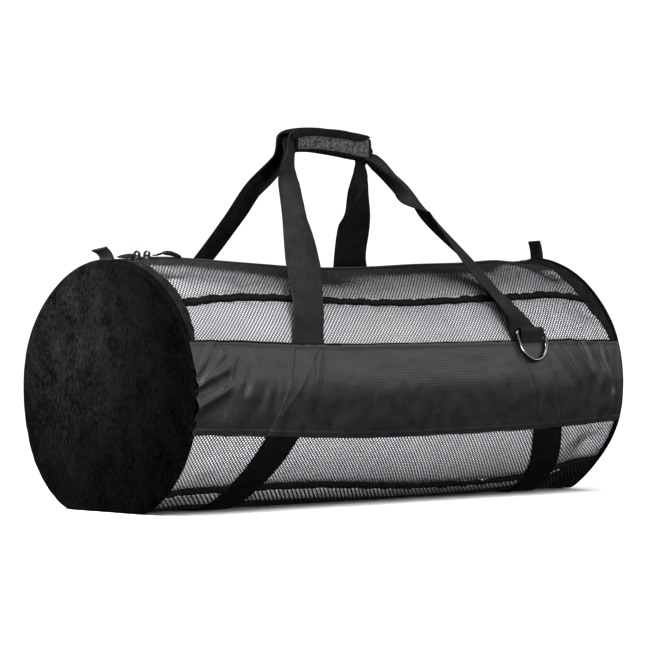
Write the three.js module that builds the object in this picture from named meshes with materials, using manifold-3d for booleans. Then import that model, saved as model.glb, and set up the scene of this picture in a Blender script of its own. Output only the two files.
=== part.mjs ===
import * as THREE from "three";
import { mergeVertices } from "three/addons/utils/BufferGeometryUtils.js";
import Module from "manifold-3d";

// A zipped mesh duffel lying on its side. Millimetres and degrees: X runs along the bag, -Y is its front, +Z is up.
// Angles go round the side wall: 0 is the front, 90 the top, 180 the rear and -90 the ground.

// Side wall: a round section that flattens where it lies on the ground.
const sectionRadius = 156;
const sectionCentre = 144;
const wallEnd = 375.5;
const stripWidth = 20;
const flattenRound = 5;
const angleStep = 9;

// Layers of the wall, as [inner, outer] distances from the outer face of the net.
const gap = 0.3;
const net = [-1, 0];
const strip = [-1.2, 0.4];
const tape = [-1.3, -0.3];
const webbing = [0.5, 2.1];
const band = [2.4, 3.6];
const coil = [-1.4, 1.4];

const webbingWidth = 48;
const webbingThickness = webbing[1] - webbing[0];
const seamTapeWidth = 9;
const bandTop = 20.9;
const bandBottom = -21.6;
const zipTapeWidth = 14;
const coilWidth = 6;

const endPanel = { thickness: 1.5, shoulder: 5, crown: 3 };
const grip = { left: -78, right: 51, zLeft: 451, zRight: 447, halfWidth: 10.2, halfHeight: 14.8, wall: 2 };
const ring = { x: 201, wire: 2.5, halfWidth: 26.2, depth: 36, armLength: 10, lean: 17, sides: 8, steps: 30 };
const loop = { width: 46, bend: 4.4, barHeight: 10.5, barOut: 7.6, tail: 3.2 };
const tab = { seat: 378, width: 22, thickness: 1.4 };
const slider = { leftX: -331, rightX: -315, length: 13, width: 11, thickness: 3, bailSpan: 6, bailWire: 1.6 };

// The straps hold the wall off the ground by their thickness. It settles onto the ground on both sides of them.
const strapLift = { start: 190, full: 230, fullEnd: 314, end: 336 };

// Height of the top line above a plain cylinder: it sags between the ends.
const topLine = [
  { x: -376, rise: 0 },
  { x: -300, rise: 1 },
  { x: -160, rise: -3 },
  { x: -40, rise: -8 },
  { x: 60, rise: -7 },
  { x: 140, rise: -4 },
  { x: 230, rise: -2 },
  { x: 290, rise: 2 },
  { x: 330, rise: -1 },
  { x: 376, rise: 0 },
];

// Where the seams of the net run on the front. The rear mirrors them.
const seams = [
  { x: -376, upper: 42.5, lower: -50 },
  { x: -250, upper: 46, lower: -48.5 },
  { x: -110, upper: 45.5, lower: -49.5 },
  { x: 20, upper: 44.6, lower: -53.5 },
  { x: 135, upper: 45.6, lower: -54.5 },
  { x: 240, upper: 46.8, lower: -52 },
  { x: 310, upper: 47, lower: -46 },
  { x: 376, upper: 43, lower: -44 },
];

// Puckers of the wall: soft hollows and bumps, each with its reach along X and round the wall.
const puckers = [
  { x: 334, angle: -64, reachX: 16, reachAngle: 9, rise: -5 },
  { x: 330, angle: -34, reachX: 20, reachAngle: 8, rise: -4 },
  { x: 285, angle: 74, reachX: 26, reachAngle: 10, rise: 3 },
  { x: 322, angle: 76, reachX: 14, reachAngle: 9, rise: -4 },
  { x: -60, angle: 68, reachX: 90, reachAngle: 14, rise: -4 },
  { x: -330, angle: -62, reachX: 30, reachAngle: 10, rise: -3 },
  { x: 40, angle: 112, reachX: 100, reachAngle: 14, rise: -4 },
];

// Folds of the front band, raised from it: a fan at the left seam and slanting folds at the right.
const bandFolds = [
  { x: -356, angle: 2, reachX: 22, reachAngle: 3.5, slant: 0.22, rise: 5 },
  { x: -354, angle: -7, reachX: 16, reachAngle: 3, slant: 0.18, rise: 4.5 },
  { x: -349, angle: 12, reachX: 18, reachAngle: 3, slant: 0.4, rise: 3 },
  { x: 275, angle: 7, reachX: 9, reachAngle: 8, slant: -0.4, rise: 3 },
  { x: 312, angle: 8, reachX: 9, reachAngle: 8, slant: -0.4, rise: 3 },
  { x: 350, angle: 2, reachX: 9, reachAngle: 10, slant: -0.3, rise: 3 },
];

// Centre of the straps on the wall, from a band's top edge down to the ground.
const strapSpread = [
  { angle: -90, left: 272, right: 284 },
  { angle: -48, left: 254, right: 266 },
  { angle: -21, left: 229, right: 237 },
  { angle: 21, left: 186, right: 186 },
  { angle: 36, left: 172, right: 172 },
];

// Free run of the handles, from left to right: the spine of the webbing, how far it has rolled about its run from
// lying level with the wall, and how far its inner half is folded under the outer half.
const gripRun = [
  { x: -81, y: -8, z: 440, roll: -30, fold: 174 },
  { x: -55, y: -8.2, z: 439.2, roll: -30, fold: 174 },
  { x: -11, y: -8.2, z: 437.7, roll: -30, fold: 174 },
  { x: 35, y: -7.6, z: 435.8, roll: -30, fold: 174 },
  { x: 58, y: -7.8, z: 435.2, roll: -30, fold: 174 },
];
const frontRun = [
  { x: -147, y: -98, z: 297, roll: 15, fold: 12 },
  { x: -108, y: -53, z: 357.5, roll: 32, fold: 70 },
  { x: -93, y: -30, z: 395, roll: 32, fold: 120 },
  { x: -89, y: -17, z: 423, roll: 14, fold: 165 },
  ...gripRun,
  { x: 64, y: -17, z: 418, roll: 12, fold: 170 },
  { x: 86, y: -30, z: 393, roll: 26, fold: 14 },
  { x: 110.5, y: -51, z: 360.5, roll: 28, fold: 6 },
  { x: 149, y: -94, z: 298, roll: 24, fold: 4 },
];
// The rear handle's run, seen from the rear as the front one is from the front.
const rearRun = [
  { x: -145, y: -98, z: 297, roll: 18, fold: 6 },
  { x: -124, y: -53, z: 357.5, roll: 22, fold: 10 },
  { x: -107, y: -30, z: 395, roll: 24, fold: 30 },
  { x: -93, y: -17, z: 423, roll: 14, fold: 150 },
  ...gripRun,
  { x: 61, y: -17, z: 417, roll: 14, fold: 165 },
  { x: 66, y: -30, z: 391.5, roll: 32, fold: 120 },
  { x: 81, y: -51, z: 359, roll: 32, fold: 70 },
  { x: 114, y: -94, z: 296, roll: 15, fold: 12 },
];

const radians = THREE.MathUtils.degToRad;
const { lerp, clamp } = THREE.MathUtils;

// A smooth curve through one column of a table.
function column(rows, from, key) {
  const at = rows.map((row) => row[from]);
  return (value) => {
    const u = clamp(value, at[0], at[at.length - 1]);
    const i = Math.min(
      at.findLastIndex((edge) => edge <= u),
      at.length - 2,
    );
    const [before, low, high, after] = [i - 1, i, i + 1, i + 2].map((k) => rows[clamp(k, 0, at.length - 1)]);
    const span = high[from] - low[from];
    const slopeLow = (high[key] - before[key]) / (high[from] - before[from]);
    const slopeHigh = (after[key] - low[key]) / (after[from] - low[from]);
    const t = (u - low[from]) / span;
    const [t2, t3] = [t * t, t * t * t];
    const ends = (2 * t3 - 3 * t2 + 1) * low[key] + (3 * t2 - 2 * t3) * high[key];
    return ends + span * ((t3 - 2 * t2 + t) * slopeLow + (t3 - t2) * slopeHigh);
  };
}

const topRise = column(topLine, "x", "rise");
const upperSeam = column(seams, "x", "upper");
const lowerSeam = column(seams, "x", "lower");
const strapOffset = { left: column(strapSpread, "angle", "left"), right: column(strapSpread, "angle", "right") };

function bell(distance, reach) {
  return Math.exp(-((distance / reach) ** 2));
}

function wrapAngle(angle) {
  return THREE.MathUtils.euclideanModulo(angle + 180, 360) - 180;
}

function puckerRise(x, angle) {
  return puckers.reduce(
    (sum, p) => sum + p.rise * bell(x - p.x, p.reachX) * bell(wrapAngle(angle - p.angle), p.reachAngle),
    0,
  );
}

// Heights near the ground ease into a flat.
function flatten(z, ground) {
  const above = z - ground;
  if (above <= -flattenRound) return ground;
  if (above >= flattenRound) return z;
  return ground + (above + flattenRound) ** 2 / (4 * flattenRound);
}

function groundLift(x) {
  const along = Math.abs(x);
  const { start, full, fullEnd, end } = strapLift;
  const share = Math.min((along - start) / (full - start), (end - along) / (end - fullEnd));
  return lerp(strip[1], webbing[1], clamp(share, 0, 1));
}

// A point of the side wall, out millimetres from the outer face of the net.
function wallPoint(x, angle, out) {
  const a = radians(angle);
  const r = sectionRadius + puckerRise(x, angle) + out;
  const rise = topRise(x) * Math.max(0, Math.sin(a)) ** 2;
  const z = sectionCentre + r * Math.sin(a) + rise;
  return new THREE.Vector3(x, -r * Math.cos(a), flatten(z, groundLift(x) - out));
}

function degreesOf(length) {
  return THREE.MathUtils.radToDeg(length / sectionRadius);
}

// Angles from low to high, on the lines that all layers share, with both ends kept.
function angleLines(low, high) {
  const lines = [];
  const clear = angleStep / 6;
  for (let a = Math.ceil(low / angleStep) * angleStep; a < high; a += angleStep) {
    if (a - low > clear && high - a > clear) lines.push(a);
  }
  return [low, ...lines, high];
}

function geometryOf(points, triangles) {
  const geometry = new THREE.BufferGeometry().setFromPoints(points);
  let volume = 0;
  triangles.forEach(([a, b, c]) => {
    volume += points[a].dot(new THREE.Vector3().crossVectors(points[b], points[c]));
  });
  const facing = volume < 0 ? triangles.map(([a, b, c]) => [a, c, b]) : triangles;
  geometry.setIndex(facing.flat());
  return geometry;
}

// A closed sheet over a grid. grid[side][i][j] holds its points: side 0 is the inner face, side 1 the outer.
function sheet(grid, closed = false) {
  const rows = grid[0].length;
  const columns = grid[0][0].length;
  const points = grid.flat(2);
  const id = (side, i, j) => (side * rows + (i % rows)) * columns + j;
  const triangles = [];
  const quad = (a, b, c, d) => triangles.push([a, b, c], [a, c, d]);
  const lastRow = closed ? rows : rows - 1;
  for (let i = 0; i < lastRow; i++) {
    for (let j = 0; j < columns - 1; j++) {
      quad(id(1, i, j), id(1, i + 1, j), id(1, i + 1, j + 1), id(1, i, j + 1));
      quad(id(0, i, j), id(0, i, j + 1), id(0, i + 1, j + 1), id(0, i + 1, j));
    }
    quad(id(0, i, 0), id(0, i + 1, 0), id(1, i + 1, 0), id(1, i, 0));
    const edge = columns - 1;
    quad(id(1, i, edge), id(1, i + 1, edge), id(0, i + 1, edge), id(0, i, edge));
  }
  if (!closed) {
    for (let j = 0; j < columns - 1; j++) {
      quad(id(0, 0, j), id(1, 0, j), id(1, 0, j + 1), id(0, 0, j + 1));
      const end = rows - 1;
      quad(id(1, end, j), id(0, end, j), id(0, end, j + 1), id(1, end, j + 1));
    }
  }
  return geometryOf(points, triangles);
}

// Lines across the bag for the wall, closer together where its ends are puckered.
const netEnd = wallEnd - stripWidth - gap;
const strapLines = [strapLift.start, strapLift.full, 272, strapLift.fullEnd, strapLift.end, netEnd];
const wallLines = [...strapLines.map((x) => -x).reverse(), -130, -65, 0, 65, 130, ...strapLines];

// A stretch of the wall between two edges that may wander along X. Lines of the wall that an edge reaches move with it.
function wallSheet(xLines, lowEdge, highEdge, layer) {
  const lowest = Math.min(...xLines.map(lowEdge));
  const highest = Math.max(...xLines.map(highEdge));
  const middle = angleLines(lowest, highest).slice(1, -1);
  const margin = angleStep / 9;
  return sheet(
    layer.map((out) =>
      xLines.map((x) => {
        const [low, high] = [lowEdge(x), highEdge(x)];
        const inside = middle.map((angle) => clamp(angle, low + margin, high - margin));
        return [low, ...inside, high].map((angle) => wallPoint(x, angle, out));
      }),
    ),
  );
}

const rear = (edge) => (x) => 180 - edge(x);
const shifted = (edge, degrees) => (x) => edge(x) + degrees;
const level = (angle) => () => angle;

// Net panels end a small gap short of the tapes that bind them.
const tapeHalf = degreesOf(seamTapeWidth / 2);
const netEdge = tapeHalf + degreesOf(gap);
const coilHalf = degreesOf(coilWidth / 2);
const zipInner = coilHalf + degreesOf(gap);
const zipOuter = zipInner + degreesOf(zipTapeWidth);
const netTop = zipOuter + degreesOf(gap);

function netFront() {
  return wallSheet(wallLines, shifted(lowerSeam, netEdge), shifted(upperSeam, -netEdge), net);
}

function netRear() {
  return wallSheet(wallLines, rear(shifted(upperSeam, -netEdge)), rear(shifted(lowerSeam, netEdge)), net);
}

function netTopFront() {
  return wallSheet(wallLines, shifted(upperSeam, netEdge), level(90 - netTop), net);
}

function netTopRear() {
  return wallSheet(wallLines, level(90 + netTop), rear(shifted(upperSeam, netEdge)), net);
}

function netBottom() {
  return wallSheet(wallLines, (x) => -180 - lowerSeam(x) + netEdge, shifted(lowerSeam, -netEdge), net);
}

function seamTape(seam) {
  return wallSheet(wallLines, shifted(seam, -tapeHalf), shifted(seam, tapeHalf), tape);
}

function zipStrip(low, high, layer) {
  return wallSheet(wallLines, level(low), level(high), layer);
}

function roundAngles() {
  return Array.from({ length: 360 / angleStep }, (_, i) => i * angleStep);
}

function endStrip(side) {
  const xs = [wallEnd - stripWidth, wallEnd].map((x) => side * x);
  return sheet(
    strip.map((out) => roundAngles().map((angle) => xs.map((x) => wallPoint(x, angle, out)))),
    true,
  );
}

// An end panel: a crowned disc whose edge turns over a soft shoulder to meet the strip.
function endDisc(side) {
  const { thickness, shoulder, crown } = endPanel;
  const seam = wallEnd + gap;
  const profile = [
    { in: 0, x: seam },
    { in: 0.6, x: seam + 0.5 * shoulder },
    { in: 2.2, x: seam + 0.85 * shoulder },
    { in: 7, x: seam + shoulder },
    { in: 0.45 * sectionRadius, x: seam + shoulder + 0.7 * crown },
  ];
  const points = [];
  const triangles = [];
  const angles = roundAngles();
  const addRing = (inset, x) => {
    angles.forEach((angle) => {
      const rim = wallPoint(side * wallEnd, angle, 0);
      const scale = 1 - inset / sectionRadius;
      const z = sectionCentre + (rim.z - sectionCentre) * scale;
      points.push(new THREE.Vector3(side * x, rim.y * scale, z));
    });
  };
  const rims = profile.map((p) => [p.in, p.x]);
  const backs = profile.map((p, i) => [p.in + (i < 3 ? thickness : 0), i === 0 ? p.x : p.x - thickness]);
  [...rims, ...backs].forEach(([inset, x]) => addRing(inset, x));
  const count = angles.length;
  const centres = [points.length, points.length + 1];
  const crownX = seam + shoulder + crown;
  points.push(new THREE.Vector3(side * crownX, 0, sectionCentre));
  points.push(new THREE.Vector3(side * (crownX - thickness), 0, sectionCentre));
  const stitch = (ringA, ringB) => {
    for (let i = 0; i < count; i++) {
      const [a, b] = [ringA * count + i, ringA * count + ((i + 1) % count)];
      const [c, d] = [ringB * count + i, ringB * count + ((i + 1) % count)];
      triangles.push([a, b, d], [a, d, c]);
    }
  };
  const last = profile.length - 1;
  for (let k = 0; k < last; k++) stitch(k, k + 1);
  for (let k = 0; k < last; k++) stitch(profile.length + k + 1, profile.length + k);
  stitch(profile.length, 0);
  for (let i = 0; i < count; i++) {
    const j = (i + 1) % count;
    triangles.push([last * count + i, last * count + j, centres[0]]);
    triangles.push([(profile.length + last) * count + j, (profile.length + last) * count + i, centres[1]]);
  }
  return geometryOf(points, triangles);
}

function bandFoldRise(x, angle) {
  return bandFolds.reduce((sum, f) => {
    const across = angle - f.angle - f.slant * (x - f.x);
    return sum + f.rise * bell(x - f.x, f.reachX) * bell(across, f.reachAngle);
  }, 0);
}

const foldLines = [-372, -364, -356, -348, -339, -328];
const plainLines = [-300, -240, -160, -80, 0, 80, 160, 235];
const slantLines = [262, 275, 288, 300, 312, 324, 336, 348, 360, 370];

function bandFront() {
  const xs = [-wallEnd, ...foldLines, ...plainLines, ...slantLines, wallEnd];
  const middle = [-15, -9, -4, 0, 4, 9, 15];
  return sheet(
    band.map((out) =>
      xs.map((x) =>
        [bandBottom, ...middle, bandTop].map((angle) => wallPoint(x, angle, out + bandFoldRise(x, angle))),
      ),
    ),
  );
}

function bandRear() {
  const xs = [-wallEnd, -322, ...plainLines, 278, 326, wallEnd];
  return wallSheet(xs, level(180 - bandTop), level(180 - bandBottom), band);
}

// A strap's centre line drifts along X as it goes round, so its width along X is a little over the webbing's.
function strapEdges(offset, angle) {
  const front = angle >= -90 ? angle : -180 - angle;
  const step = 1;
  const drift = (offset(front + step) - offset(front - step)) / (2 * step);
  const slope = drift / (sectionRadius * radians(1));
  const half = (webbingWidth / 2) * Math.hypot(1, slope);
  return [offset(front) - half, offset(front) + half];
}

function strapRun(side, offset) {
  const angles = angleLines(-180 - bandTop, bandTop);
  return sheet(
    webbing.map((out) =>
      angles.map((angle) => {
        const [near, far] = strapEdges(offset, angle);
        return [near, (near + far) / 2, far].map((x) => wallPoint(side * x, angle, out));
      }),
    ),
  );
}

// The section of a folded strip: its outer half lies straight and its inner half turns under it through the fold.
function foldedSection(fold, width) {
  const turn = Math.max(radians(fold), 1e-3);
  const bend = lerp(13, 5.6, fold / 180);
  const bendAt = (angle) => ({
    out: (bend * Math.sin(angle)) / turn,
    up: (bend * (Math.cos(angle) - 1)) / turn,
    turn: angle,
  });
  const flange = width / 2 - bend;
  const bendEnd = bendAt(turn);
  const edge = {
    out: bendEnd.out + flange * Math.cos(turn),
    up: bendEnd.up - flange * Math.sin(turn),
    turn,
  };
  return [{ out: -width / 2, up: 0, turn: 0 }, { out: 0, up: 0, turn: 0 }, bendAt(turn / 2), bendEnd, edge];
}

// The direction across a free stretch of webbing that has rolled about its run.
function rolledAcross(along, roll) {
  const wallSlope = radians(30);
  const outward = new THREE.Vector3(0, -Math.cos(wallSlope), Math.sin(wallSlope));
  outward.addScaledVector(along, -outward.dot(along)).normalize();
  const flat = new THREE.Vector3().crossVectors(along, outward);
  return flat.multiplyScalar(Math.cos(radians(roll))).addScaledVector(outward, Math.sin(radians(roll)));
}

// A handle starts on the wall at a band's top edge, runs free to the grip and comes back down.
function handle(run) {
  const offset = strapOffset.left;
  const middle = webbing[0] + webbingThickness / 2;
  const wallRow = (side, angle, out, across) => {
    const point = wallPoint(side * offset(angle), angle, out);
    return { point, across: new THREE.Vector3(...across), fold: 0 };
  };
  const startAngle = bandTop + degreesOf(gap);
  const lyingAngle = 27;
  const leaving = { angle: 34, out: 7 };
  const freeRows = run.map((row) => ({
    point: new THREE.Vector3(row.x, row.y, row.z),
    roll: row.roll,
    fold: row.fold,
  }));
  const rows = [
    wallRow(-1, startAngle, middle, [1, 0, 0]),
    wallRow(-1, lyingAngle, middle, [1, 0, 0]),
    wallRow(-1, leaving.angle, leaving.out, [0.98, -0.02, -0.15]),
    ...freeRows,
    wallRow(1, leaving.angle, leaving.out, [-0.98, -0.02, -0.15]),
    wallRow(1, lyingAngle, middle, [-1, 0, 0]),
    wallRow(1, startAngle, middle, [-1, 0, 0]),
  ];
  freeRows.forEach((row) => {
    const i = rows.indexOf(row);
    const along = rows[i + 1].point.clone().sub(rows[i - 1].point).normalize();
    row.across = rolledAcross(along, row.roll);
  });
  const path = new THREE.CatmullRomCurve3(rows.map((r) => r.point));
  const acrossPath = new THREE.CatmullRomCurve3(rows.map((r) => r.across));
  const steps = 2 * (rows.length - 1);
  const faces = [[], []];
  for (let i = 0; i <= steps; i++) {
    const t = i / steps;
    const k = Math.min(Math.floor(i / 2), rows.length - 2);
    const fold = lerp(rows[k].fold, rows[k + 1].fold, i / 2 - k);
    const centre = path.getPoint(t);
    const across = acrossPath.getPoint(t).normalize();
    const normal = new THREE.Vector3().crossVectors(across, path.getTangent(t));
    const shear = normal.length();
    normal.normalize();
    const section = foldedSection(fold, webbingWidth / shear);
    [-0.5, 0.5].forEach((share, face) => {
      faces[face].push(
        section.map((p) => {
          const lift = share * webbingThickness;
          const sideways = p.out + lift * Math.sin(p.turn);
          const up = p.up + lift * Math.cos(p.turn);
          return centre.clone().addScaledVector(across, sideways).addScaledVector(normal, up);
        }),
      );
    });
  }
  return sheet(faces);
}

function mirrored(geometry) {
  const copy = geometry.clone().scale(1, -1, 1);
  const index = copy.getIndex();
  for (let i = 0; i < index.count; i += 3) {
    const second = index.getX(i + 1);
    index.setX(i + 1, index.getX(i + 2));
    index.setX(i + 2, second);
  }
  return copy;
}

// The grip: one padded strip goes down the front, under, up the rear and over the top as a flap.
function gripWrap() {
  const { halfWidth, halfHeight, wall } = grip;
  const w = halfWidth + wall / 2;
  const h = halfHeight + wall / 2;
  const flap = h + wall + gap;
  const middle = [
    [w - 3, h],
    [-w + 2, h],
    [-w, h - 2],
    [-w - 0.5, 0],
    [-w, -h + 3],
    [-w + 3, -h],
    [w - 3, -h],
    [w, -h + 3],
    [w + 0.5, 0],
    [w, h - 1],
    [w - 1.5, flap - 0.8],
    [w - 4, flap],
    [-w + 1, flap],
    [-w - 1.5, flap - 2],
  ].map(([y, z]) => new THREE.Vector2(y, z));
  const normals = middle.map((p, i) => {
    const before = middle[Math.max(i - 1, 0)];
    const after = middle[Math.min(i + 1, middle.length - 1)];
    const along = after.clone().sub(before).normalize();
    return new THREE.Vector2(along.y, -along.x);
  });
  const xs = [0, 0.12, 0.35, 0.6, 0.85, 1].map((share) => lerp(grip.left, grip.right, share));
  return sheet(
    [-0.5, 0.5].map((share) =>
      xs.map((x) => {
        const z = lerp(grip.zLeft, grip.zRight, (x - grip.left) / (grip.right - grip.left));
        return middle.map((p, i) => {
          const q = p.clone().addScaledVector(normals[i], share * wall);
          return new THREE.Vector3(x, q.x, z + q.y);
        });
      }),
    ),
  );
}

// The frame of the webbing fold at the band's top edge: out of the wall, and up along it.
const loopAngle = radians(bandTop);
const loopOut = new THREE.Vector3(0, -Math.cos(loopAngle), Math.sin(loopAngle));
const loopUp = new THREE.Vector3(0, Math.sin(loopAngle), Math.cos(loopAngle));

function loopPoint(out, up) {
  return wallPoint(ring.x, bandTop, 0).addScaledVector(loopOut, out).addScaledVector(loopUp, up);
}

const ringBar = loopPoint(loop.barOut, loop.barHeight);

// The fold of webbing that holds the ring: up the wall, over the bar and down onto the band.
function ringLoop() {
  const inner = loop.barOut - loop.bend;
  const middle = [new THREE.Vector2(inner, 2 * gap), new THREE.Vector2(inner, loop.barHeight)];
  [150, 120, 90, 60, 30, 0, -25].forEach((degrees) => {
    const a = radians(degrees);
    middle.push(
      new THREE.Vector2(loop.barOut + loop.bend * Math.cos(a), loop.barHeight + loop.bend * Math.sin(a)),
    );
  });
  const lying = band[1] + gap + webbingThickness / 2;
  middle.push(new THREE.Vector2(lying + 0.9, -0.4), new THREE.Vector2(lying + 0.2, -loop.tail));
  const xs = [-loop.width / 2, loop.width / 2];
  return sheet(
    [-0.5, 0.5].map((share) =>
      middle.map((p, i) => {
        const before = middle[Math.max(i - 1, 0)];
        const after = middle[Math.min(i + 1, middle.length - 1)];
        const along = after.clone().sub(before).normalize();
        const q = p.clone().add(new THREE.Vector2(-along.y, along.x).multiplyScalar(share * webbingThickness));
        return xs.map((x) => loopPoint(q.x, q.y).setX(ring.x + x));
      }),
    ),
  );
}

// The metal ring: a straight bar, two short arms and a round bow, leaning on the band.
function dRing() {
  const { halfWidth, depth, armLength, wire, sides, steps } = ring;
  const bow = depth - armLength;
  const corner = 2.5;
  const outline = [
    [-halfWidth + corner, 0],
    [-halfWidth / 3, 0],
    [halfWidth / 3, 0],
    [halfWidth - corner, 0],
    [halfWidth, -corner],
    [halfWidth, -armLength],
  ];
  for (let degrees = 20; degrees < 180; degrees += 20) {
    const a = radians(degrees);
    outline.push([halfWidth * Math.cos(a), -armLength - bow * Math.sin(a)]);
  }
  outline.push([-halfWidth, -armLength], [-halfWidth, -corner]);
  const points = outline.map(([x, z]) => new THREE.Vector3(x, 0, z));
  const path = new THREE.CatmullRomCurve3(points, true, "centripetal");
  return new THREE.TubeGeometry(path, steps, wire, sides, true);
}

const wasm = await Module();
wasm.setup();

function solidOf(geometry) {
  const bare = geometry.clone();
  bare.deleteAttribute("normal");
  bare.deleteAttribute("uv");
  const merged = mergeVertices(bare, 1e-4);
  return new wasm.Manifold(
    new wasm.Mesh({
      numProp: 3,
      vertProperties: merged.getAttribute("position").array,
      triVerts: new Uint32Array(merged.getIndex().array),
    }),
  );
}

function joined(...geometries) {
  const whole = geometries.map(solidOf).reduce((a, b) => a.add(b));
  const made = whole.getMesh();
  const geometry = new THREE.BufferGeometry();
  geometry.setAttribute("position", new THREE.BufferAttribute(made.vertProperties, 3));
  return geometry.setIndex(new THREE.BufferAttribute(made.triVerts, 1));
}

// A slider: a plate with shoulders over the coil, and an arched bail for its pull.
function zipSlider() {
  const { length, width, thickness, bailSpan, bailWire } = slider;
  const plate = new THREE.Shape();
  plate.moveTo(-length / 2, -width / 2 + 2);
  plate.lineTo(-length / 2 + 3, -width / 2);
  plate.lineTo(length / 2 - 4, -width / 2 + 0.8);
  plate.lineTo(length / 2, -2);
  plate.lineTo(length / 2, 2);
  plate.lineTo(length / 2 - 4, width / 2 - 0.8);
  plate.lineTo(-length / 2 + 3, width / 2);
  plate.lineTo(-length / 2, width / 2 - 2);
  plate.closePath();
  const base = new THREE.ExtrudeGeometry(plate, { depth: thickness, bevelEnabled: false });
  const half = bailSpan / 2 + bailWire;
  const arch = new THREE.Shape();
  arch.moveTo(-half, 0);
  arch.lineTo(-half, 3);
  arch.absarc(0, 3, half, Math.PI, 0, true);
  arch.lineTo(half, 0);
  arch.lineTo(half - bailWire, 0);
  arch.lineTo(half - bailWire, 3);
  arch.absarc(0, 3, half - bailWire, 0, Math.PI, false);
  arch.lineTo(-half + bailWire, 0);
  arch.closePath();
  const bail = new THREE.ExtrudeGeometry(arch, { depth: 3, bevelEnabled: false, curveSegments: 6 });
  bail.translate(0, 0, -1.5).rotateX(Math.PI / 2).translate(0, 0, thickness - 0.5);
  return joined(base, bail);
}

// The leaf-shaped pull: a pointed blade with an eye round one foot of the bail.
function leafPull() {
  const blade = new THREE.Shape();
  blade.moveTo(3.4, 0);
  blade.quadraticCurveTo(3.4, 3.4, -1, 3.4);
  blade.quadraticCurveTo(-12, 6.6, -27, 0.8);
  blade.lineTo(-27, -0.8);
  blade.quadraticCurveTo(-12, -6.6, -1, -3.4);
  blade.quadraticCurveTo(3.4, -3.4, 3.4, 0);
  const eye = new THREE.Path();
  eye.moveTo(1.6, -2.1);
  eye.lineTo(1.6, 2.1);
  eye.lineTo(-1.6, 2.1);
  eye.lineTo(-1.6, -2.1);
  eye.closePath();
  blade.holes.push(eye);
  return new THREE.ExtrudeGeometry(blade, { depth: 1.8, bevelEnabled: false, curveSegments: 5 });
}

function linkRing() {
  const half = { x: 6.2, y: 3.6 };
  const corners = [
    [half.x, 0],
    [half.x - 1.6, half.y],
    [0, half.y],
    [1.6 - half.x, half.y],
    [-half.x, 0],
    [1.6 - half.x, -half.y],
    [0, -half.y],
    [half.x - 1.6, -half.y],
  ].map(([x, y]) => new THREE.Vector3(x, y, 0));
  const path = new THREE.CatmullRomCurve3(corners, true);
  return new THREE.TubeGeometry(path, 20, 0.8, 6, true);
}

// The moulded pull: a short stem that runs out of the link and a curved, flattened grip.
function mouldedPull() {
  const sections = [
    { x: 0, z: 0, halfWidth: 1.2, halfHeight: 1.2 },
    { x: 10, z: 1.2, halfWidth: 1.2, halfHeight: 1.2 },
    { x: 13, z: 1.2, halfWidth: 3, halfHeight: 2 },
    { x: 22, z: -0.4, halfWidth: 4, halfHeight: 2.4 },
    { x: 31, z: -3, halfWidth: 3.4, halfHeight: 1.9 },
    { x: 34, z: -3.8, halfWidth: 1.4, halfHeight: 1 },
  ];
  const sides = 10;
  const points = [];
  const triangles = [];
  sections.forEach((s) => {
    for (let i = 0; i < sides; i++) {
      const a = (2 * Math.PI * i) / sides;
      points.push(new THREE.Vector3(s.x, s.halfWidth * Math.cos(a), s.z + s.halfHeight * Math.sin(a)));
    }
  });
  for (let k = 0; k < sections.length - 1; k++) {
    for (let i = 0; i < sides; i++) {
      const j = (i + 1) % sides;
      const [a, b, c, d] = [k * sides + i, k * sides + j, (k + 1) * sides + j, (k + 1) * sides + i];
      triangles.push([a, b, c], [a, c, d]);
    }
  }
  const end = (sections.length - 1) * sides;
  for (let i = 1; i < sides - 1; i++) {
    triangles.push([0, i + 1, i], [end, end + i, end + i + 1]);
  }
  return geometryOf(points, triangles);
}

// A tab: webbing folded double, standing in the end seam and leaning out along X.
function seamTab(lean, height) {
  const { width, thickness } = tab;
  const ply = (thickness + 0.5) / 2;
  const centre = [0, 0.25, 0.5, 0.75, 1].map((t) => new THREE.Vector2(lean * t * t, height * t));
  const path = [
    ...centre.map((p) => p.clone().add(new THREE.Vector2(-ply, 0))),
    new THREE.Vector2(lean, height + ply),
    ...centre.reverse().map((p) => p.clone().add(new THREE.Vector2(ply, 0))),
  ];
  const ys = [-width / 2, width / 2];
  return sheet(
    [-0.5, 0.5].map((share) =>
      path.map((p, i) => {
        const before = path[Math.max(i - 1, 0)];
        const after = path[Math.min(i + 1, path.length - 1)];
        const along = after.clone().sub(before).normalize();
        const q = p.clone().add(new THREE.Vector2(-along.y, along.x).multiplyScalar(share * thickness));
        return ys.map((y) => new THREE.Vector3(q.x, y, q.y));
      }),
    ),
  );
}

const finishes = {
  panelCloth: { color: 0x1c1c1e, roughness: 0.85, metalness: 0 },
  netThread: { color: 0x2a2a2c, roughness: 0.9, metalness: 0 },
  tapeCloth: { color: 0x141415, roughness: 0.9, metalness: 0 },
  bandCloth: { color: 0x232325, roughness: 0.6, metalness: 0 },
  strapWebbing: { color: 0x161617, roughness: 0.8, metalness: 0 },
  gripCloth: { color: 0x3a3a3c, roughness: 0.75, metalness: 0 },
  zipPlastic: { color: 0x151516, roughness: 0.5, metalness: 0 },
  steel: { color: 0xb4b6ba, roughness: 0.25, metalness: 1 },
  pullRubber: { color: 0x1a1a1b, roughness: 0.7, metalness: 0 },
};

const meshBag = new THREE.Group();

function add(name, geometry, finish, parent = meshBag) {
  const mesh = new THREE.Mesh(geometry, new THREE.MeshStandardMaterial(finishes[finish]));
  mesh.name = name;
  parent.add(mesh);
  return mesh;
}

add("end_panel_left", endDisc(-1), "panelCloth");
add("end_panel_right", endDisc(1), "panelCloth");
add("end_strip_left", endStrip(-1), "tapeCloth");
add("end_strip_right", endStrip(1), "tapeCloth");

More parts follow.
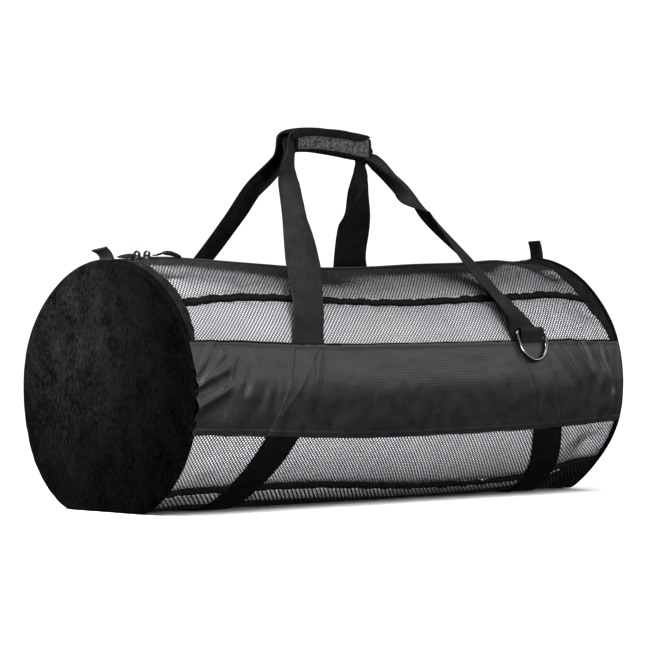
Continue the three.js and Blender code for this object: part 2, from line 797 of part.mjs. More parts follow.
add("net_front", netFront(), "netThread");
add("net_rear", netRear(), "netThread");
add("net_top_front", netTopFront(), "netThread");
add("net_top_rear", netTopRear(), "netThread");
add("net_bottom", netBottom(), "netThread");

add("seam_tape_front_upper", seamTape(upperSeam), "tapeCloth");
add("seam_tape_front_lower", seamTape(lowerSeam), "tapeCloth");
add("seam_tape_rear_upper", seamTape(rear(upperSeam)), "tapeCloth");
add("seam_tape_rear_lower", seamTape(rear(lowerSeam)), "tapeCloth");

add("zip_tape_front", zipStrip(90 - zipOuter, 90 - zipInner, tape), "tapeCloth");
add("zip_tape_rear", zipStrip(90 + zipInner, 90 + zipOuter, tape), "tapeCloth");
add("zip_coil", zipStrip(90 - coilHalf, 90 + coilHalf, coil), "zipPlastic");

add("band_front", bandFront(), "bandCloth");
add("band_rear", bandRear(), "bandCloth");
add("strap_left", strapRun(-1, strapOffset.left), "strapWebbing");
add("strap_right", strapRun(1, strapOffset.right), "strapWebbing");

add("handle_front", handle(frontRun), "strapWebbing");
add("handle_rear", mirrored(handle(rearRun)), "strapWebbing");
add("grip_wrap", gripWrap(), "gripCloth");

add("d_ring_loop", ringLoop(), "strapWebbing");
const ringMesh = add("d_ring", dRing(), "steel");
ringMesh.position.copy(ringBar);
ringMesh.rotation.x = -radians(ring.lean);

// Sliders and pulls stand in groups on the coil.
function zipGroup(x) {
  const group = new THREE.Group();
  group.position.set(x, 0, wallPoint(x, 90, coil[1]).z + gap);
  meshBag.add(group);
  return group;
}

const bailFoot = slider.bailSpan / 2 + slider.bailWire / 2;
const pullHeight = slider.thickness + 2 * gap;
const leftGroup = zipGroup(slider.leftX);
add("slider_left", zipSlider(), "steel", leftGroup);
const leaf = add("pull_left", leafPull(), "pullRubber", leftGroup);
leaf.position.set(-bailFoot, 0, pullHeight);
leaf.rotation.y = -radians(3);

const rightGroup = zipGroup(slider.rightX);
add("slider_right", zipSlider(), "steel", rightGroup);
const link = add("pull_link", linkRing(), "steel", rightGroup);
link.position.set(bailFoot + 4, 0, pullHeight + 1);
const pull = add("pull_right", mouldedPull(), "pullRubber", rightGroup);
pull.position.set(bailFoot + 4 + 6.2 + 0.8 + gap, 0, pullHeight + 1);

[
  { name: "tab_left", x: -tab.seat, lean: -10, height: 16 },
  { name: "tab_right", x: tab.seat, lean: -5, height: 27 },
].forEach(({ name, x, lean, height }) => {
  const mesh = add(name, seamTab(lean, height), "strapWebbing");
  mesh.position.set(x, 0, wallPoint(x, 90, 0).z);
});

export default meshBag;
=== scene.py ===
import math

import bpy
import numpy as np
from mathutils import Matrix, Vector


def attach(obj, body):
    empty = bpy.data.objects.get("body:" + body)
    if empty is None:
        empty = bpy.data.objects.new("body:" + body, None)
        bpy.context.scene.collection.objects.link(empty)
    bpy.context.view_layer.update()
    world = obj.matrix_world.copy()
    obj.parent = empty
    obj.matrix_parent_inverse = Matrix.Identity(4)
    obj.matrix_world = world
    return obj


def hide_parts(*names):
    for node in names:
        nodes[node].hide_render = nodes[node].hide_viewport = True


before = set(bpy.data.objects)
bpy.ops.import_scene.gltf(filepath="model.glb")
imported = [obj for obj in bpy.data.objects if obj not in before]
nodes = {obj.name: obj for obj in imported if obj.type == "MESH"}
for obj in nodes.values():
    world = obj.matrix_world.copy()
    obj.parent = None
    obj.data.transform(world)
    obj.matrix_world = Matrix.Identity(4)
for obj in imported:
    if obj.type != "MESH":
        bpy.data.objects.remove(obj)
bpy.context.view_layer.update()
print("frame loaded:", len(nodes), "nodes")

mm = 0.001

# side wall of the bag, mm and degrees: 0 front, 90 top, 180 rear, -90 ground
wall = {
    "radius": 156,
    "centre": 144,
    "end": 375.5,
    "netEnd": 355.2,
    "strapEnd": 20.9,
    "bandTop": [(-376, 23.7), (-285, 22.7), (-215, 21.4), (-170, 20.9), (0, 20.9), (376, 20.9)],
    "bandBottom": [
        (-376, -17.6), (-257, -19.2), (-199, -20.3), (-110, -21.8), (-27, -22.2), (130, -21.9),
        (224, -21.2), (376, -19.6),
    ],
    "groundRound": 5,
    "lift": (190, 230, 314, 336),  # where the straps under the bag hold it up
    "topLine": [
        (-376, 1), (-335, 3), (-285, 4), (-230, 1.5), (-150, -3), (-40, -8), (60, -7), (140, -4),
        (230, -2), (290, 1), (330, -1), (376, 0),
    ],
    "upperSeam": [
        (-376, 42.5), (-250, 46), (-110, 45.5), (20, 44.6), (135, 45.6), (240, 46.8), (310, 47),
        (376, 43),
    ],
    "lowerSeam": [
        (-376, -50), (-250, -48.5), (-110, -49.5), (20, -53.5), (135, -54.5), (240, -52), (310, -46),
        (376, -44),
    ],
    # x, angle, reach along x, reach in degrees, rise
    "puckers": [
        (334, -64, 16, 9, -5), (330, -34, 20, 8, -4), (285, 74, 26, 10, 3), (-60, 68, 90, 14, -4),
        (-330, -62, 30, 10, -3), (40, 112, 100, 14, -4), (376, 5, 75, 32, -7), (376, -46, 75, 22, -7),
        (376, 46, 75, 18, -3), (384, 90, 40, 14, 4), (-376, 226, 120, 30, 7), (-376, 158, 100, 20, 2.5),
    ],
    "gathers": (0.9, 338, 22),  # height, where along the bag, reach
}


def bell(distance, reach):
    return np.exp(-((distance / reach) ** 2))


def lerp(low, high, share):
    return low + (high - low) * share


def unit(vector):
    return vector / np.linalg.norm(vector, axis=-1, keepdims=True)


def lengthsAlong(points):  # the way from the first point to each
    return np.concatenate([[0], np.cumsum(np.linalg.norm(np.diff(points, axis=0), axis=1))])


def rowAt(rows, at, places=None):  # between rows, which are evenly spaced unless places are given
    places = np.linspace(0, 1, len(rows)) if places is None else places
    return [np.interp(at, places, column) for column in np.array(rows).T]


def rotated(a, b, degrees):
    turn = math.radians(degrees)
    return a * math.cos(turn) - b * math.sin(turn), a * math.sin(turn) + b * math.cos(turn)


def through(rows, at):  # smooth curve through rows of (place, value)
    place, value = np.array(rows, float).T
    at = np.clip(np.asarray(at, float), place[0], place[-1])
    slope = np.gradient(value, place)
    slope[1:-1] = (value[2:] - value[:-2]) / (place[2:] - place[:-2])
    i = np.clip(np.searchsorted(place, at, "right") - 1, 0, len(place) - 2)
    span = place[i + 1] - place[i]
    t = (at - place[i]) / span
    ends = (2 * t**3 - 3 * t**2 + 1) * value[i] + (3 * t**2 - 2 * t**3) * value[i + 1]
    return ends + span * ((t**3 - 2 * t**2 + t) * slope[i] + (t**3 - t**2) * slope[i + 1])


def groundLift(x):
    start, full, fullEnd, end = wall["lift"]
    along = np.abs(x)
    share = np.minimum((along - start) / (full - start), (end - along) / (end - fullEnd))
    return lerp(0.4, 2.1, np.clip(share, 0, 1))


def wallPoint(x, angle, out):  # a point of the wall in metres, out mm from the net's outer face
    x, angle, out = np.broadcast_arrays(*(np.asarray(part, float) for part in (x, angle, out)))
    a = np.radians(angle)
    r = wall["radius"] + out
    for px, pa, reachX, reachA, rise in wall["puckers"]:
        turn = (angle - pa + 180) % 360 - 180
        r = r + rise * bell(x - px, reachX) * bell(turn, reachA)
    height, place, reach = wall["gathers"]
    wave = np.sin(np.radians(angle * 16 + 40 * np.sign(x))) + 0.6 * np.sin(np.radians(angle * 27 + 10))
    r = r + height * wave * bell(np.abs(x) - place, reach)
    z = wall["centre"] + r * np.sin(a) + through(wall["topLine"], x) * np.maximum(0, np.sin(a)) ** 2
    ground = np.maximum(groundLift(x) - out, 0)
    above = z - ground
    soft = wall["groundRound"]
    eased = ground + (above + soft) ** 2 / (4 * soft)
    z = np.where(above <= -soft, ground, np.where(above >= soft, z, eased))
    return np.stack([x, -r * np.cos(a), z], -1) * mm


def degreesOf(length):
    return np.degrees(length / wall["radius"])


def lengthOf(angle):
    return np.radians(angle) * wall["radius"]


def wallLine(name):  # a line along the wall, its angle at x
    return lambda x: through(wall[name], x)


bandHigh, bandLow = wallLine("bandTop"), wallLine("bandBottom")
upperSeam, lowerSeam = wallLine("upperSeam"), wallLine("lowerSeam")


def ripple(a, b, size, seed, waves=7):  # soft uneven relief between about -1 and 1
    rng = np.random.default_rng(seed)
    total = 0
    for k in range(waves):
        turn = rng.uniform(0, 2 * math.pi)
        length = size * rng.uniform(0.6, 1.5)
        run = (a * math.cos(turn) + b * math.sin(turn)) / length
        total = total + np.sin(2 * math.pi * run + rng.uniform(0, 6.28))
    return total / math.sqrt(waves)


def creases(rows, a, b):  # ridges and valleys: start a, b, end a, b, width at both ends, rise, all mm
    total = np.zeros(np.broadcast(a, b).shape)
    for a0, b0, a1, b1, width0, width1, rise in rows:
        run = np.array([a1 - a0, b1 - b0])
        length = np.hypot(*run)
        t = ((a - a0) * run[0] + (b - b0) * run[1]) / length**2
        away = ((a - a0) * run[1] - (b - b0) * run[0]) / length
        width = lerp(width0, width1, np.clip(t, 0, 1))
        over = np.maximum(np.maximum(-t, t - 1), 0) * length
        total = total + rise * bell(away, width) * bell(over, 0.85 * (width0 + width1))
    return total


# a grid laid onto a shape; chart is the size of its UV map in metres, or a function for it
def gridPiece(name, columns, rows, place, chart):
    bpy.ops.mesh.primitive_grid_add(x_subdivisions=columns, y_subdivisions=rows, size=2)
    piece = bpy.context.object
    piece.name = name
    mesh = piece.data
    co = np.empty(len(mesh.vertices) * 3)
    mesh.vertices.foreach_get("co", co)
    u, v = (co.reshape(-1, 3)[:, :2].T + 1) / 2
    mesh.vertices.foreach_set("co", place(u, v).astype(np.float32).ravel())
    uvs = mesh.uv_layers.active.data
    uv = np.empty(len(uvs) * 2)
    uvs.foreach_get("uv", uv)
    uv = chart(*uv.reshape(-1, 2).T) if callable(chart) else uv.reshape(-1, 2) * chart
    uvs.foreach_set("uv", uv.astype(np.float32).ravel())
    mesh.update()
    bpy.ops.object.shade_smooth()
    return piece


def pick(*pieces):  # selects these alone, the last one active
    bpy.ops.object.select_all(action="DESELECT")
    for piece in pieces:
        piece.select_set(True)
    bpy.context.view_layer.objects.active = pieces[-1]


def thicken(piece, thickness, offset=-1):  # mm, inwards unless told otherwise
    pick(piece)
    modifier = piece.modifiers.new("Thickness", "SOLIDIFY")
    modifier.thickness = thickness * mm
    modifier.offset = offset
    bpy.ops.object.modifier_apply(modifier=modifier.name)


def edited(piece, operator, **settings):  # one operator on the whole mesh
    pick(piece)
    bpy.ops.object.mode_set(mode="EDIT")
    bpy.ops.mesh.select_all(action="SELECT")
    operator(**settings)
    bpy.ops.object.mode_set(mode="OBJECT")


def merged(piece, near=1e-6):  # closes seams and poles, faces outwards
    edited(piece, bpy.ops.mesh.remove_doubles, threshold=near)
    edited(piece, bpy.ops.mesh.normals_make_consistent, inside=False)


def arrayPiece(name, points, faces):  # many small things as one mesh
    mesh = bpy.data.meshes.new(name)
    mesh.from_pydata(points, [], faces)
    mesh.update()
    piece = bpy.data.objects.new(name, mesh)
    bpy.context.collection.objects.link(piece)
    pick(piece)
    bpy.ops.object.shade_smooth()
    return piece


def rebind(piece, test):  # gives its second finish to the faces whose middle, mm, passes the test
    middle = np.empty(len(piece.data.polygons) * 3)
    piece.data.polygons.foreach_get("center", middle)
    chosen = test(*(middle.reshape(-1, 3) / mm).T)
    piece.data.polygons.foreach_set("material_index", chosen.astype(np.int32))


def joined(piece, extras):  # extras become part of piece and keep their own finish
    pick(*extras, piece)
    bpy.ops.object.join()


def seamLine(place, a, b, step):  # points along a seam and the way out of the cloth there, mm
    a, b = np.broadcast_arrays(np.asarray(a, float), np.asarray(b, float))
    along = place(a + step, b) - place(a - step, b)
    up = place(a, b + step) - place(a, b - step)
    return place(a, b) / mm, unit(np.cross(along, up))


stitchLook = {"long": 3.0, "gap": 1.1, "half": 0.5, "rise": 0.35}


def stitches(piece, lines):  # rows of thread along the lines, sewn into the piece
    points = []
    long, gap = stitchLook["long"], stitchLook["gap"]
    for line, outward in lines:
        run = lengthsAlong(line)
        start = np.arange(gap, run[-1] - long, long + gap)

        def at(share, rows):
            return np.stack(rowAt(rows, start + share * long, run), -1)

        out = at(0.5, outward)
        side = unit(np.cross(at(1, line) - at(0, line), out)) * stitchLook["half"]
        rise = out * stitchLook["rise"]
        rings = [at(0, line)]
        for share in (0.22, 0.78):
            centre = at(share, line)
            rings += [centre + side, centre + rise, centre - side, centre - 0.6 * rise]
        points.append(np.stack([*rings, at(1, line)], 1))
    points = np.concatenate(points)
    shape = []
    for k in range(4):
        after = (k + 1) % 4
        shape += [(0, 1 + k, 1 + after), (1 + k, 5 + k, 5 + after, 1 + after), (5 + k, 9, 5 + after)]
    faces = []
    for first in range(0, len(points) * 10, 10):
        faces += [tuple(first + i for i in face) for face in shape]
    thread = arrayPiece(piece.name + "_thread", (points.reshape(-1, 3) * mm).tolist(), faces)
    merged(thread, 1e-8)
    thread.data.materials.append(sewingThread)
    joined(piece, [thread])


def settle(piece, finishes, slot, *replaced, body="bag"):
    for finish in finishes:
        piece.data.materials.append(finish)
    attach(piece, body)
    if replaced:
        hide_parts(*replaced)


# finishes
def newFinish(name, roughness, specular, metallic=0.0):
    material = bpy.data.materials.new(name)
    material.use_nodes = True
    shader = material.node_tree.nodes["Principled BSDF"]
    shader.inputs["Roughness"].default_value = roughness
    shader.inputs["Specular IOR Level"].default_value = specular
    shader.inputs["Metallic"].default_value = metallic
    return material, shader


def addNode(material, kind, inputs, **settings):
    node = material.node_tree.nodes.new("ShaderNode" + kind)
    for key, value in settings.items():
        setattr(node, key, value)
    for key, value in inputs.items():
        if isinstance(value, bpy.types.NodeSocket):
            material.node_tree.links.new(value, node.inputs[key])
        else:
            node.inputs[key].default_value = value
    return node


def noiseOf(material, size, detail=4, stretch=(1, 1, 1)):
    place = addNode(material, "TexCoord", {}).outputs["Object"]
    laid = addNode(material, "Mapping", {"Vector": place, "Scale": stretch}).outputs[0]
    inputs = {"Vector": laid, "Scale": 1 / size, "Detail": detail}
    return addNode(material, "TexNoise", inputs).outputs["Fac"]


def wavesOf(material, period, direction, turn):  # ribs on the UV map, period in metres
    place = addNode(material, "TexCoord", {}).outputs["UV"]
    laid = addNode(material, "Mapping", {"Vector": place, "Rotation": (0, 0, turn)}).outputs[0]
    inputs = {"Vector": laid, "Scale": 2 * math.pi / (20 * period)}
    ribs = {"wave_type": "BANDS", "bands_direction": direction, "wave_profile": "SIN"}
    return addNode(material, "TexWave", inputs, **ribs).outputs["Fac"]


def mathOf(material, operation, *values):
    return addNode(material, "Math", dict(enumerate(values)), operation=operation).outputs[0]


def sumOf(material, *parts):  # parts are pairs of a source and its share
    total = 0.0
    for source, share in parts:
        total = mathOf(material, "MULTIPLY_ADD", source, share, total)
    return total


def colourOf(material, share, low, high, darkest=0.3, lightest=0.7):
    ramp = addNode(material, "ValToRGB", {"Fac": share})
    for stop, place, colour in zip(ramp.color_ramp.elements, (darkest, lightest), (low, high)):
        stop.position = place
        stop.color = (*colour, 1)
    return ramp.outputs["Color"]


def bumpOf(material, height, depth, strength=1.0, **under):
    inputs = {"Height": height, "Distance": depth, "Strength": strength, **under}
    return addNode(material, "Bump", inputs).outputs["Normal"]


def connect(material, shader, **sockets):
    for name, source in sockets.items():
        material.node_tree.links.new(source, shader.inputs[name.replace("_", " ")])


def grey(value):
    return (value, value, value * 1.04)


def roughOf(material, share, low, high):
    return addNode(material, "MapRange", {"Value": share, "To Min": low, "To Max": high}).outputs["Result"]


def wovenFinish(name, look):
    material, shader = newFinish(name, look["rough"][0], look["specular"])
    mottle = noiseOf(material, look["mottle"], 5, look.get("stretch", (1, 1, 1)))
    grain = noiseOf(material, look.get("grain", 0.0011), 2, look.get("nap", (1, 1, 1)))
    turn = look.get("turn", 0.0)
    across, along = (wavesOf(material, period, way, turn) for period, way in zip(look["weave"], "XY"))
    weave = mathOf(material, "MULTIPLY", across, along)
    share = sumOf(material, (mottle, look.get("cloud", 0.75)), (weave, 0.2), (grain, look["speckle"]))
    normal = bumpOf(material, mottle, look["crumple"], 0.6, Normal=bumpOf(material, weave, look["depth"]))
    tone = colourOf(material, share, *map(grey, look["grey"]), *look.get("ramp", (0.3, 0.7)))
    rough = roughOf(material, mottle, *look["rough"])
    connect(material, shader, Base_Color=tone, Normal=normal, Roughness=rough)
    return material


panelCloth = wovenFinish("panel_cloth", {
    "grey": (0.0002, 0.0068), "rough": (0.5, 0.8), "specular": 0.013, "mottle": 0.03,
    "stretch": (1, 1.3, 0.7), "weave": (0.0016, 0.0016), "depth": 0.0001, "crumple": 0.0022,
    "cloud": 0.4, "grain": 0.0024, "nap": (1, 1.5, 0.4), "speckle": 0.9, "ramp": (0.55, 0.95),
})
bandCloth = wovenFinish("band_cloth", {
    "grey": (0.004, 0.012), "rough": (0.42, 0.56), "specular": 0.45, "mottle": 0.02,
    "weave": (0.0030, 0.0026), "depth": 0.00012, "crumple": 0.0008, "speckle": 0.25,
})
tapeCloth = wovenFinish("tape_cloth", {
    "grey": (0.0015, 0.007), "rough": (0.8, 0.95), "specular": 0.08, "mottle": 0.01,
    "weave": (0.0014, 0.002), "depth": 0.0004, "crumple": 0.0008, "speckle": 0.3,
})
stripCloth = wovenFinish("strip_cloth", {
    "grey": (0.0015, 0.014), "rough": (0.8, 0.95), "specular": 0.06, "mottle": 0.012,
    "weave": (0.0034, 0.0034), "turn": math.radians(45), "depth": 0.0007, "crumple": 0.001, "speckle": 0.2,
})
webbingLook = {
    "grey": (0.003, 0.014), "rough": (0.55, 0.75), "specular": 0.18, "mottle": 0.015,
    "weave": (0.0032, 0.0018), "depth": 0.0005, "crumple": 0.0004, "speckle": 0.15,
}
webbing = wovenFinish("handle_webbing", webbingLook)
# the straps under the bag are the same webbing as the handles, given a darker copy of its finish: painted
# shade
shadedStrapWebbing = wovenFinish("strap_webbing", {
    **webbingLook, "grey": (0.001, 0.005), "specular": 0.07,
})
# grey speckled face of the grip: the speckle is its weave, its light grey level is painted sheen
gripClothWithSheen = wovenFinish("grip_cloth", {
    "grey": (0.003, 0.085), "rough": (0.7, 0.9), "specular": 0.1, "mottle": 0.0024,
    "weave": (0.0016, 0.0016), "turn": 0.4, "depth": 0.0003, "crumple": 0.0008, "speckle": 0.9,
    "ramp": (0.74, 1.04),
})
netBacking = wovenFinish("net_backing", {
    "grey": (0.60, 0.72), "rough": (0.7, 0.9), "specular": 0.1, "mottle": 0.05,
    "weave": (0.002, 0.002), "depth": 0.0002, "crumple": 0.001, "speckle": 0.1,
})


def threadFinish(name, low, high):
    material, shader = newFinish(name, 0.6, 0.2)
    grain = noiseOf(material, 0.0009, 2)
    share = sumOf(material, (grain, 0.6), (noiseOf(material, 0.06, 3), 0.4))
    tone = colourOf(material, share, low, high)
    rough = roughOf(material, grain, 0.55, 0.85)
    connect(material, shader, Base_Color=tone, Normal=bumpOf(material, grain, 0.0002), Roughness=rough)
    return material


netThread = threadFinish("net_thread", grey(0.003), grey(0.016))
sewingThread = threadFinish("sewing_thread", grey(0.001), grey(0.006))


def hardFinish(name, low, high, rough, metallic, specular, wear):
    material, shader = newFinish(name, rough[0], specular, metallic)
    fine = noiseOf(material, wear, 3, (1, 1, 0.3))
    share = sumOf(material, (noiseOf(material, 0.012, 5), 0.6), (fine, 0.4))
    tone = colourOf(material, share, low, high)
    normal = bumpOf(material, fine, 0.00008)
    connect(material, shader, Base_Color=tone, Normal=normal, Roughness=roughOf(material, share, *rough))
    return material


ringSteel = hardFinish(
    "ring_steel", (0.07, 0.07, 0.073), (0.19, 0.19, 0.196), (0.12, 0.26), 1.0, 0.5, 0.0012)
sliderMetal = hardFinish("slider_metal", grey(0.07), grey(0.18), (0.2, 0.36), 1.0, 0.5, 0.0015)
pullRubber = hardFinish("pull_rubber", grey(0.002), grey(0.008), (0.5, 0.7), 0.0, 0.15, 0.001)
zipPlastic = hardFinish("zip_plastic", grey(0.006), grey(0.025), (0.35, 0.55), 0.0, 0.4, 0.001)
print("finishes ready")

# net panels: diamond lattice of knitted threads, each thread a closed lens section
netLook = {
    "end": 372, "pitchX": 5.0, "pitchRound": 4.8, "hole": 0.71, "thread": 0.9, "depth": -0.5,
    "backing": -1.3,
    # how far down the pale sheet goes under the lower seams, degrees along x; it stops where shade falls
    # under the bag, so the bare net below it reads dark: painted shade
    "under": [
        (-356, 14), (-300, 13), (-240, 11.5), (-150, 12), (0, 11), (150, 9), (240, 8), (296, 7),
        (322, 2.6), (356, 2.6),
    ],
}
tapeHalf = degreesOf(5.5)
netEdge = tapeHalf + degreesOf(0.3)
zipInner = degreesOf(3.3)
zipOuter = zipInner + degreesOf(14)
netTop = zipOuter + degreesOf(0.3)


def netX(share):
    return lerp(-netLook["end"], netLook["end"], share)


def netBack(name, low, high, tall):  # pale sheet close behind the net
    def place(u, v):
        x = netX(u)
        return wallPoint(x, lerp(low(x), high(x), v), netLook["backing"])

    sheet = gridPiece(name, 100, 8, place, (0.744, tall * mm))
    thicken(sheet, 0.4)
    sheet.data.materials.append(netBacking)
    return sheet


def netPanel(name, stretches, node, tall, pitch=1.03, backing=None):
    points = []
    faces = []

    def added(placed):  # numbers of the new points
        first = sum(len(part) for part in points)
        points.append(placed)
        return np.arange(first, first + len(placed))

    for low, high in stretches:
        along = netX(np.linspace(0, 1, 9))
        n = 2 * round(netLook["end"] * 2 / (netLook["pitchX"] * pitch))
        m = 2 * max(round(lengthOf(np.mean(high(along) - low(along))) / (netLook["pitchRound"] * pitch)), 2)
        i, j = np.meshgrid(np.arange(n + 1), np.arange(m + 1), indexing="ij")

        def lay(i, j, out):
            x = netX(i / n)
            return wallPoint(x, lerp(low(x), high(x), j / m), netLook["depth"] + out)

        knot = (i + j) % 2 == 0
        borders = (i == 0, j == 0, i == n, j == m)
        edge = np.any(borders, axis=0)
        half = np.where(edge, 0, netLook["thread"] / 2)
        front = np.full(i.shape, -1)
        front[knot] = added(lay(i[knot], j[knot], half[knot]))
        back = front.copy()
        inside = knot & ~edge
        back[inside] = added(lay(i[inside], j[inside], -half[inside]))
        steps = [(-1, 0), (0, -1), (1, 0), (0, 1)]
        for cutAt in (None, 0, 1, 2, 3):  # whole holes first, then the half ones of each border
            want = ~knot
            for side, border in enumerate(borders):
                want = want & (border if side == cutAt else ~border)
            kept = [step for side, step in enumerate(steps) if side != cutAt]
            corner = [(i[want] + across, j[want] + up) for across, up in kept]
            midI, midJ = (sum(part) / len(kept) for part in zip(*corner))
            size = netLook["hole"]
            hole = [added(lay(lerp(midI, a, size), lerp(midJ, b, size), 0)) for a, b in corner]
            for k in range(len(kept)):
                after = (k + 1) % len(kept)
                a, b = corner[k], corner[after]
                faces.append(np.stack([front[a], front[b], hole[after], hole[k]], -1))
                faces.append(np.stack([back[b], back[a], hole[k], hole[after]], -1))
    panel = arrayPiece(name, np.concatenate(points).tolist(), np.concatenate(faces).tolist())
    settle(panel, [netThread], "net_thread", node)
    joined(panel, [netBack(name + "_back", low, high, tall) for low, high in backing or stretches])


def moved(line, by):  # the same line some degrees further round
    return lambda x: line(x) + by


def onRear(line, turn=180):  # its mirror image on the rear side, turn -180 on the way round below
    return lambda x: turn - line(x)


def mirrored(stretches):
    return [(onRear(high), onRear(low)) for low, high in reversed(stretches)]


# lower edge of the pale sheet behind the bottom net, placed where shade begins: painted shade
def backingShadeEdge(x):
    return lowerSeam(x) - through(netLook["under"], x)


def flatAt(angle):
    return lambda x: np.full(np.shape(x), angle)


bandLap = 1.5  # the net runs on behind the band's edges, degrees
sideNet = [
    (moved(lowerSeam, netEdge), moved(bandLow, bandLap)),
    (moved(bandHigh, -bandLap), moved(upperSeam, -netEdge)),
]
topNet = [(moved(upperSeam, netEdge), flatAt(90 - netTop))]
netPanel("net_front_mesh", sideNet, "net_front", 143)
netPanel("net_rear_mesh", mirrored(sideNet), "net_rear", 143)
netPanel("net_top_front_mesh", topNet, "net_top_front", 97)
netPanel("net_top_rear_mesh", mirrored(topNet), "net_top_rear", 97)
underSeam = moved(lowerSeam, -netEdge)
# the pale sheet behind the bottom net covers only the strips out of shade, the rest of the net is left dark:
# painted shade
backingOutOfShade = [(backingShadeEdge, underSeam), (onRear(underSeam, -180), onRear(backingShadeEdge, -180))]
netPanel("net_bottom_mesh", [(onRear(underSeam, -180), underSeam)], "net_bottom", 206, 1.4, backingOutOfShade)
print("net panels made")

# seam bindings: narrow rolled tapes that pucker a little along the seam
bindingLook = {"lies": -0.3, "thickness": 1.0, "roll": 2.2, "pucker": 0.5, "wavy": 0.9, "lowerEnd": 368}


def seamBinding(name, seam, end, node):
    def place(u, v):
        x = lerp(-end, end, u)
        across = 2 * v - 1
        wander = 0.25 * ripple(x, 0 * x, 38, 3)
        wavy = bindingLook["wavy"] * ripple(x, across * 9, 17, 5)
        angle = seam(x) + across * (tapeHalf + degreesOf(wavy)) + wander
        out = bindingLook["lies"] + bindingLook["roll"] * (1 - across**4)
        return wallPoint(x, angle, out + bindingLook["pucker"] * ripple(x, across * 5, 11, 8))

    binding = gridPiece(name, 220, 5, place, (0.71, 0.011))
    thicken(binding, bindingLook["thickness"])
    settle(binding, [tapeCloth], "tape_cloth", node)
    along = np.linspace(0.004, 0.996, 400)
    stitches(binding, [seamLine(place, along, v, 0.002) for v in (0.2, 0.8)])


seamBinding("binding_front_upper", upperSeam, wall["netEnd"], "seam_tape_front_upper")
seamBinding("binding_front_lower", lowerSeam, bindingLook["lowerEnd"], "seam_tape_front_lower")
seamBinding("binding_rear_upper", onRear(upperSeam), wall["netEnd"], "seam_tape_rear_upper")
seamBinding("binding_rear_lower", onRear(lowerSeam), bindingLook["lowerEnd"], "seam_tape_rear_lower")

# end strips: dark cloth round both ends, its inner edge a little ragged
stripLook = {
    "lies": 0.7,
    "thickness": 1.6,
    "ragged": 0.8,
    "crumple": 0.5,
    # elevation on the wall and width there
    "left": [(-91, 12), (-55, 8), (-35, 4), (-12, 4), (8, 7), (25, 13), (45, 20), (91, 20)],
    "right": [(-91, 12), (-55, 8), (-35, 4), (-12, 4), (8, 7), (25, 14), (45, 30), (70, 27), (91, 20)],
}


def endStrip(name, side, node):
    def place(u, v):
        angle = 360 * v - 90
        a = np.radians(angle)
        y, z = wall["radius"] * np.cos(a), wall["radius"] * np.sin(a)
        edge = stripLook["ragged"] * ripple(y, z, 16, 12)
        wide = through(stripLook["left" if side < 0 else "right"], np.degrees(np.arcsin(np.sin(a))))
        inner = wall["end"] - wide - edge
        x = lerp(-wall["end"], -inner, u) if side < 0 else lerp(inner, wall["end"], u)
        turned = (np.abs(x) - inner) / wide
        ruck = stripLook["crumple"] * ripple(x + y, z, 13, 14) * np.clip(1 - np.abs(2 * turned - 1), 0, 1)
        return wallPoint(x, angle, stripLook["lies"] + ruck - 0.5 * bell(turned, 0.06))

    strip = gridPiece(name, 8, 300, place, (0.02, 0.97))
    merged(strip)
    thicken(strip, stripLook["thickness"])
    settle(strip, [stripCloth], "tape_cloth", node)
    around = np.linspace(0, 1, 500)
    stitches(strip, [seamLine(place, 0.82 if side < 0 else 0.18, around, 0.002)])


endStrip("strip_left_cloth", -1, "end_strip_left")
endStrip("strip_right_cloth", 1, "end_strip_right")
print("bindings and strips made")

# end panels: crowned cloth discs with a rolled seam round the edge
panelLook = {
    "profile": [
        (0, 1.4, -4.5), (0.05, 2.0, -1.5), (0.09, 1.6, 1.5), (0.13, 0.2, 3.6), (0.17, -2.6, 4.5),
        (0.22, -5.2, 3.9), (0.27, -8.5, 4.4), (0.36, -16, 5.3), (0.5, -40, 6.2), (0.7, -85, 7.3),
        (1, -156, 8),
    ],
    "thickness": 1.5,
    # angle and radius of both ends, widths there, rise
    "folds": [
        (190, 156, 186, 112, 7, 9, 2.2), (204, 156, 197, 118, 6, 9, 2.4),
        (218, 156, 208, 110, 7, 10, 2.2), (231, 156, 220, 125, 6, 9, 1.8),
        (197, 154, 192, 116, 5, 6, -2.4), (211, 154, 203, 114, 5, 7, -2.2),
        (163, 152, 168, 126, 3, 6, -2.6), (172, 148, 178, 118, 4, 5, -1.8),
        (20, 138, 34, 112, 6, 10, -1.2), (-20, 152, -8, 100, 6, 12, -1.4),
        (-42, 154, -30, 105, 6, 12, -1.2), (95, 70, 130, 60, 8, 12, -0.9),
        (300, 96, 330, 60, 8, 14, -1.0), (-70, 150, -60, 90, 8, 14, -1.0),
    ],
}


